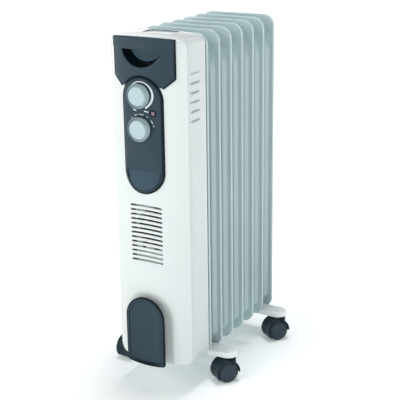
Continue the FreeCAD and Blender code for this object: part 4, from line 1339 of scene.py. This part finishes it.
class HEATER_OT_fan(bpy.types.Operator):
    """Builds the pale fan frame and the twisted blades of the impeller"""
    bl_idname = "heater.fan"
    bl_label = "Booster fan"

    def execute(self, context):
        self.surround()
        self.impeller()
        return {"FINISHED"}

    def surround(self):
        back = FAN_HIGH.y
        front, low, high = back - 2.2, 229.0, 355.0
        half = FAN_HIGH.x + 1
        outer = rounded(half, low, high, 5, 30, 44)
        edge = outer.ring(0)
        rounds = [(u / hypot(u, v - FAN_CENTRE), (v - FAN_CENTRE) / hypot(u, v - FAN_CENTRE)) for u, v in edge]

        def circle(radius, y):
            return [(radius * a, y, FAN_CENTRE + radius * b) for a, b in rounds]

        form = Form()
        loops = [form.loop([(u, front + 0.6, v) for u, v in edge]),
                 form.loop([(u, front, v) for u, v in outer.ring(-0.6)]),
                 form.loop(circle(40.6, front)), form.loop(circle(39.8, front + 0.1)),
                 form.loop(circle(38.9, front + 0.5)), form.loop(circle(38.5, front + 1.1)),
                 form.loop(circle(38.5, back)), form.loop([(u, back, v) for u, v in outer.ring(-0.6)]),
                 form.loop([(u, back - 0.6, v) for u, v in edge])]
        form.chain(loops, ring=True)
        # The pale frame glows with painted light, since it lies in the shade inside the box.
        parts = [form.part("fan_surround", "inner_white")]
        spokes = Form()
        for x, z in ((39.2, 1.8), (1.8, 39.2)):
            block(spokes, (-x, back - 3.8, FAN_CENTRE - z), (x, back - 0.1, FAN_CENTRE + z), 0.7)
        lathe(spokes, [(0, 0), (12, 0), (12, 3), (11.2, 3.9), (0, 3.9)],
              about_y(0, FAN_CENTRE, back - 0.05, -1), 40)
        parts.append(spokes.part("fan_spokes", "black_plastic"))
        piece("fan_surround", parts, "heater", "white_shell", "fan_frame")

    def impeller(self):
        hub_front = span("fan_impeller")[0].y
        form = Form()
        lathe(form, [(0, -0.2), (9, 0), (12.4, 0.4), (14, 1.2), (14.5, 2.6), (14.5, 5.8), (13.4, 5.8), (12.6, 3.2),
                     (3.6, 2.4), (3.6, 5.8), (1.9, 5.8), (1.9, 2.2), (0, 2.2)],
              about_y(0, FAN_CENTRE, hub_front, 1), 48)
        parts = [form.part("fan_hub", "black_plastic")]
        pitch = bpy.context.scene.heater_sizes.blade_pitch
        blade = Form()
        loops = []
        root, tip = 13.6, 34.2
        for share in steps(0, 1, 10):
            radius = root + (tip - root) * share
            twist = pitch * (1 - 0.42 * share)
            chord = 9.2 + 5.5 * share - 1.6 * share ** 6
            bend = radians(8) * share
            section = []
            for sign in (1, -1):
                for s in steps(-sign, sign, 8):
                    across = s * chord / 2
                    thick = 0.55 * sqrt(max(0.0, 1 - s * s)) + 0.12
                    camber = 0.9 * (1 - s * s)
                    deep = camber - sign * thick
                    u = across * cos(twist) - deep * sin(twist)
                    w = across * sin(twist) + deep * cos(twist)
                    section.append((radius * sin(bend) + u, max(0.25, min(7.75, 3.6 + w * 0.72)), radius))
            loops.append(blade.loop(section))
        blade.tube(loops)
        parts.append(repeat(ring_tree(), blade.mesh("fan_blade"), finish_of("black_plastic"), Count=7,
                            Centre=(0, hub_front * MM, FAN_CENTRE * MM)))
        piece("fan_blades", parts, "fan_rotor", "black_plastic", "fan_impeller")


# ---------------------------------------------------------------- cord tongue

class HEATER_OT_tongue(bpy.types.Operator):
    """Moulds the cord tongue with its bevelled edge, its inner step and its hollow face; its black outline and the
    black line at the step are painted shade
    """
    bl_idname = "heater.tongue"
    bl_label = "Cord tongue"

    def execute(self, context):
        half, low, top = TONGUE_HIGH.x, TONGUE_LOW.z, TONGUE_HIGH.z
        front, centre = TONGUE_LOW.y, top - half

        def within(edge, foot_radius):
            """The outline of the tongue moved inwards by an edge: a half disc above, small corners below."""
            wide = half - edge
            up = steps(low + edge, centre, 44) + steps(centre + 1.5, top - edge, 26)
            return Outline(wide, low + edge, top - edge, foot_radius, wide - 0.01, steps(-wide, wide, 56), up)

        def sag(u):
            return 4.2 * (1 - (u / half) ** 2)

        def face(u, v):
            inset = half - (hypot(u, v - centre) if v > centre else abs(u))
            step = 0.9 * smooth(inset, 6.2, 7.6)
            hollow = 1.2 * (1 - (u / half) ** 2) * smooth(inset, 8, 22)
            return front + 0.3 + step + hollow

        def drop(points):
            """Bow the lower end of the tongue."""
            return [(x, y, z + (2.6 - sag(x)) * (1 - smooth(z, low, low + 30))) for x, y, z in points]

        form = Form()
        rim = [(0.5, level(front + 0.6)), (0.9, level(front + 1.2)), (0.9, level(front + 2.6))]
        plate(form, within(3.4, 2.4), face, rim, level(front + 3.2))
        form.points = drop(form.points)
        # The black outline wall and the thin black line at the inner step: painted shade along the tongue's edge
        # and step.
        wall = Form()
        wall.frame(within(0, 4.4), [(-2.7, 1.0), (-1.8, 0.9), (-0.7, 1.2), (-0.1, 1.8), (0, 2.6), (0, 3.6),
                                    (-0.4, 4), (-4.6, 4), (-4.6, 2.2), (-2.7, 1.8)], front)
        wall.frame(within(6.6, 3), [(-0.5, 1.4), (-0.4, 0.62), (0.4, 0.22), (0.5, 1.4)], front)
        wall.points = drop(wall.points)
        parts = [form.part("tongue_plate", "slate_plastic", 26),
                 wall.part("tongue_wall", "black_plastic")]
        neck = Form()
        loops = []
        for y, inset in ((front + 3.6, -2.2), (front + 4.6, -1), (front + 6, -0.2), (front + 8, 0), (-160.5, 0),
                         (-155.5, 0)):
            shape = rounded(22 - inset, 78 + inset, 132 - inset, 5, 14, 14)
            loops.append(neck.loop([(u, y, v) for u, v in shape.ring(0)]))
        neck.tube(loops)
        parts.append(neck.part("tongue_neck", "slate_plastic"))
        piece("cord_tongue_plate", parts, "heater", "slate_plastic", "cord_tongue")
        return {"FINISHED"}


# ---------------------------------------------------------------- feet

class HEATER_OT_feet(bpy.types.Operator):
    """Presses the two foot brackets and turns the stem sockets"""
    bl_idname = "heater.feet"
    bl_label = "Foot brackets"

    def execute(self, context):
        for node in ("front_foot_bracket", "rear_foot_bracket"):
            low, high = span(node)
            middle = (low.y + high.y) / 2
            half, wide = high.x, (high.y - low.y) / 2
            form = Form()

            def ring(inset, z):
                shape = rounded(half - inset, middle - wide + inset, middle + wide - inset, wide - inset - 0.01,
                                56, 18)
                return [(u, v, z) for u, v in shape.ring(0)]

            top, foot = high.z, low.z
            outer = [(0.0, foot), (-0.0, foot + 0.5), (0, top - 3.2), (0.35, top - 1.4), (1.2, top - 0.35),
                     (2.4, top), (5.4, top - 0.1), (6.6, top - 0.5), (7.4, top - 1.2), (8.2, top - 1.6),
                     (9.4, top - 1.7), (12.5, top - 1.7), (16.0, top - 1.7)]
            loops = [form.loop(ring(inset, z)) for inset, z in outer]
            form.chain(loops)
            form.fan(loops[-1])
            inner = [(1.4, foot), (1.4, top - 3.6), (2.6, top - 2.2), (8.4, top - 3.2), (16.0, top - 3.2)]
            under = [form.loop(ring(inset, z)) for inset, z in inner]
            form.chain(under)
            form.fan(under[-1])
            form.bridge(loops[0], under[0])
            holes = Form()
            for x in (-STEM_ACROSS, STEM_ACROSS):
                cylinder(holes, 7.0, 30, about_z(x, middle, foot - 4))
            for x in (-BOLT_ACROSS, BOLT_ACROSS):
                cylinder(holes, 3.4, 30, about_z(x, middle, foot - 4), 24)
            piece(node + "_pressing", painted(softened(carve(form.mesh(node), holes), 0.25, 60), "bracket_paint"),
                  "heater", "bracket_paint", node)
        self.sockets()
        return {"FINISHED"}

    def sockets(self):
        low, high = span("stem_sockets")
        form = Form()
        top = high.z
        for x in (-STEM_ACROSS, STEM_ACROSS):
            for node in ("front_foot_bracket", "rear_foot_bracket"):
                a, b = span(node)
                lathe(form, [(0, top - 0.5), (4.05, top - 0.5), (4.05, low.z), (7, low.z), (7, top - 3.0),
                             (9.3, top - 2.9), (9.5, top - 2.4), (9.2, top - 1.5), (8.2, top - 0.6),
                             (6.6, top - 0.1), (5.6, top), (5, top - 0.15), (4.2, top + 0.1), (2.4, top + 0.35),
                             (0, top + 0.4)], about_z(x, (a.y + b.y) / 2, 0), 40)
        piece("stem_socket_rims", form.part("stem_socket_rims", "bracket_paint"), "heater",
              "plated_steel", "stem_sockets")


# ---------------------------------------------------------------- casters

CASTER_TRAIL, WHEEL_RADIUS = 13.0, 20.0


class HEATER_OT_casters(bpy.types.Operator):
    """Moulds the four caster hoods and their eight wheels"""
    bl_idname = "heater.casters"
    bl_label = "Casters"

    def execute(self, context):
        joints = {j["name"]: j for j in frame["joints"]}
        for label in ("front_right", "front_left", "rear_right", "rear_left"):
            stem, axle = joints[label + "_swivel"]["pos_m"], joints[label + "_outer_roll"]["axis"]
            side = 1 if stem[0] > 0 else -1
            turn = Matrix.Translation((stem[0], stem[1], 0)) @ Matrix.Rotation(atan2(axle[1], axle[0]), 4, "Z")
            self.hood(label, turn)
            for place, way in (("outer", side), ("inner", -side)):
                self.wheel(label, place, way, turn)
        return {"FINISHED"}

    def hood(self, label, turn):
        """Drawn with the stem at the origin, the axle along X and the wheels trailing towards -Y."""
        trail, height, outer, wall, half = CASTER_TRAIL, WHEEL_RADIUS, 22.7, 1.8, 17.0
        edge = [(half - 6, outer - 0.25), (half - 5.2, outer), (half - 2.4, outer), (half - 0.9, outer - 0.25),
                (half - 0.15, outer - 0.9), (half, outer - wall)]
        profile = [(-x, radius) for x, radius in reversed(edge)] + [(0, outer - 0.25)] + edge
        profile += [(half - 1, outer - wall), (0, outer - wall), (-half + 1, outer - wall)]

        def swept(section, count):
            """A section of (x, radius) turned about the axle, from the stem's side over to the far side."""
            form = Form()
            form.rod([form.loop([(x, -trail + radius * cos(a), height + radius * sin(a))
                                 for x, radius in section]) for a in map(radians, steps(-5, 217, count))])
            return form

        reach = outer - wall + 0.3
        fender = swept(profile, 54).mesh("hood_fender")
        web = swept([(-2.3, 3.2), (-2.3, reach), (2.3, reach), (2.3, 3.2)], 40).mesh("hood_web")
        stem = Form()
        top = span("stem_sockets")[1].z - 1
        lathe(stem, [(0, 24), (8.6, 24), (8.4, 31), (8, 36), (8, 42.8), (7.4, 43.8), (6.2, 44.4), (4.2, 44.5),
                     (4, 45), (4, top - 1), (3.4, top - 0.25), (2.4, top), (0, top)],
              about_z(0, 0, 0), 40)
        inside = Form()
        lathe(inside, [(0, -half - 2), (outer - wall - 0.2, -half - 2), (outer - wall - 0.2, half + 2),
                       (0, half + 2)], about_x(-trail, height), 64)
        post = carve(stem.mesh("hood_post"), inside)
        data = joined(f"hood_{label}", [painted(part, "caster_plastic") for part in (fender, web, post)])
        data.transform(turn)
        piece(f"caster_{label}_fender", data, f"caster_{label}", "caster_plastic", f"caster_{label}_hood")

    def wheel(self, label, place, way, turn):
        trail, radius, inset, wide = CASTER_TRAIL, WHEEL_RADIUS, 3.0, 14.0
        out = inset + wide
        tread = [(3.25, inset), (16, inset), (radius - 1.2, inset), (radius - 0.35, inset + 0.3),
                 (radius, inset + 1.1), (radius, inset + 4.6), (radius - 0.35, inset + 4.9),
                 (radius - 0.35, inset + 5.5), (radius, inset + 5.8), (radius, out - 4.2),
                 (radius - 0.25, out - 3.1), (radius - 0.9, out - 2.3), (radius - 1.7, out - 1.9)]
        face = [(radius - 2.1, out - 2.3), (radius - 2.7, out - 2.2), (radius - 3.1, out - 1.5),
                (radius - 4.2, out - 0.95), (radius - 7, out - 0.45), (radius - 11, out - 0.15),
                (radius - 15, out - 0.02), (0, out)]
        back = [(0, out - 2.7), (3.25, out - 2.7), (3.25, inset)]
        form = Form()
        lathe(form, tread + face + back, about_x(-trail, radius, way), 72)
        data = form.part(f"wheel_{label}_{place}", "wheel_plastic")
        data.transform(turn)
        piece(f"caster_{label}_{place}_roller", data, f"wheel_{label}_{place}", "wheel_plastic",
              f"caster_{label}_{place}_wheel")


# ---------------------------------------------------------------- inner parts and fasteners

class HEATER_OT_inner(bpy.types.Operator):
    """Gives the carried-over mechanical nodes their finishes and adds the cover screws"""
    bl_idname = "heater.inner"
    bl_label = "Inner parts"

    def execute(self, context):
        for entry in frame["record"]["subparts"]:
            for holder in frame["nodes"][entry["node"]].material_slots:
                holder.material = finish_of(entry["material_slot"])
        self.screws()
        return {"FINISHED"}

    def screws(self):
        """Countersunk cross-head screws that hold the cover, from behind the box."""
        screw = Form()
        lathe(screw, [(0, 0), (3.4, 0), (3.4, 0.5), (2.9, 1.0), (1.7, 1.35), (0, 1.4)], about_y(0, 0, 0, 1), 24)
        cross = Form()
        block(cross, (-1.7, 0.75, -0.3), (1.7, 2, 0.3), 0.08)
        block(cross, (-0.3, 0.75, -1.7), (0.3, 2, 1.7), 0.08)
        head = carve(screw.mesh("screw_head"), cross)
        tree = row_tree()
        parts = [repeat(tree, head, finish_of("plated_steel"), Count=2, Step=(56 * MM, 0, 0),
                        Start=(-28 * MM, HOUSING_HIGH.y * MM, z * MM)) for z in (61, 611)]
        piece("back_lip_screws", parts, "heater", "plated_steel")


# ---------------------------------------------------------------- stage

class HEATER_OT_stage(bpy.types.Operator):
    """Sets the pale floor and wall, the soft lights and the camera"""
    bl_idname = "heater.stage"
    bl_label = "Stage"

    def execute(self, context):
        scene = context.scene
        scene.view_settings.view_transform = "Standard"
        self.floor()
        world = bpy.data.worlds.new("studio")
        world.use_nodes = True
        back = next(n for n in world.node_tree.nodes if n.type == "BACKGROUND")
        back.inputs["Color"].default_value = (0.96, 0.985, 1.0, 1)
        back.inputs["Strength"].default_value = 0.14
        scene.world = world
        self.light("key", (-1.2, -2.8, 1.9), 2.3, 46, (1.0, 0.99, 0.97))
        self.light("fill", (2.6, -1.4, 1.2), 0.9, 6, (0.95, 0.98, 1.0))
        self.light("top", (0.1, 0.3, 3.2), 1.2, 56, (1.0, 1.0, 1.0))
        self.camera(scene)
        return {"FINISHED"}

    def floor(self):
        form = Form()
        loops = [form.loop([(r * cos(2 * pi * i / 64), r * sin(2 * pi * i / 64), 0) for i in range(64)])
                 for r in (400, 2000, 12000)]
        loops.append(form.loop([form.points[i][:2] + (3000,) for i in loops[-1]]))
        form.chain(loops)
        form.fan(loops[0])
        data = form.mesh("studio_floor")
        # The floor glows by its own emission, painted light: dim and bluish near the heater, where its shadow
        # falls, and bright white far off.
        cover = Finish("floor_paper", {"Roughness": 0.85, "Specular IOR Level": 0.15, "Emission Strength": 1.0})
        away = cover.add("ShaderNodeVectorMath", {"operation": "LENGTH"}, {0: cover.place}, output=1)
        cover.feed("Emission Color", cover.blend(cover.between(away, 0.15, 1.3), (0.20, 0.23, 0.235, 1),
                                                 (0.80, 0.80, 0.80, 1)))
        mottle = cover.between(cover.noise(3, 2), 0.3, 0.7)
        cover.feed("Base Color", cover.blend(mottle, (0.93, 0.935, 0.935, 1), (0.90, 0.905, 0.905, 1)))
        data.materials.append(cover.material)
        linked("studio_floor", data)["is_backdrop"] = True

    def light(self, name, place, spread, power, tint):
        lamp = bpy.data.lights.new(name, "AREA")
        lamp.shape = "DISK"
        lamp.size = spread
        lamp.energy = power
        lamp.color = tint
        item = linked(name, lamp)
        item.location = place
        aim = Vector((0, 0, 0.3)) - Vector(place)
        item.rotation_euler = aim.to_track_quat("-Z", "Y").to_euler()

    def camera(self, scene):
        lens = bpy.data.cameras.new("camera")
        lens.lens = 94.55
        lens.sensor_width = 36
        lens.shift_x, lens.shift_y = 0.0234, 0.0172
        lens.clip_end = 60
        lens.dof.use_dof = False
        item = linked("camera", lens)
        eye = Vector((0.93592, -1.56719, 0.89340))
        aim = Vector((0, -0.013, 0.3)) - eye
        roll = Matrix.Rotation(radians(-1.019), 4, "Z")
        item.matrix_world = Matrix.Translation(eye) @ aim.to_track_quat("-Z", "Y").to_matrix().to_4x4() @ roll
        scene.camera = item


# ---------------------------------------------------------------- panel and order of work

class HEATER_PT_panel(bpy.types.Panel):
    """Sizes, colours and pieces of the heater"""
    bl_idname = "HEATER_PT_panel"
    bl_label = "Oil filled radiator heater"
    bl_space_type = "VIEW_3D"
    bl_region_type = "UI"
    bl_category = "Heater"

    def draw(self, context):
        for group in (context.scene.heater_sizes, context.scene.heater_colours):
            box = self.layout.box()
            for name in group.__annotations__:
                box.prop(group, name)
        for step in STEPS:
            self.layout.operator(step.bl_idname)


STEPS = (HEATER_OT_fins, HEATER_OT_cover, HEATER_OT_housing, HEATER_OT_panel, HEATER_OT_strip, HEATER_OT_knobs,
         HEATER_OT_fan, HEATER_OT_tongue, HEATER_OT_feet, HEATER_OT_casters, HEATER_OT_inner, HEATER_OT_stage)
CLASSES = (HeaterSizes, HeaterColours, *STEPS, HEATER_PT_panel)


def register():
    for item in CLASSES:
        bpy.utils.register_class(item)
    bpy.types.Scene.heater_sizes = bpy.props.PointerProperty(type=HeaterSizes)
    bpy.types.Scene.heater_colours = bpy.props.PointerProperty(type=HeaterColours)


def unregister():
    del bpy.types.Scene.heater_sizes
    del bpy.types.Scene.heater_colours
    for item in reversed(CLASSES):
        bpy.utils.unregister_class(item)


def main():
    register()
    mix_finishes()
    for step in STEPS:
        group, name = step.bl_idname.split(".")
        getattr(getattr(bpy.ops, group), name)()
    boxes = {"cad": CAD_BOX, "visual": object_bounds()}
    {key: [list(map(float, corner)) for corner in box] for key, box in boxes.items()}


if __name__ == "__main__":
    main()
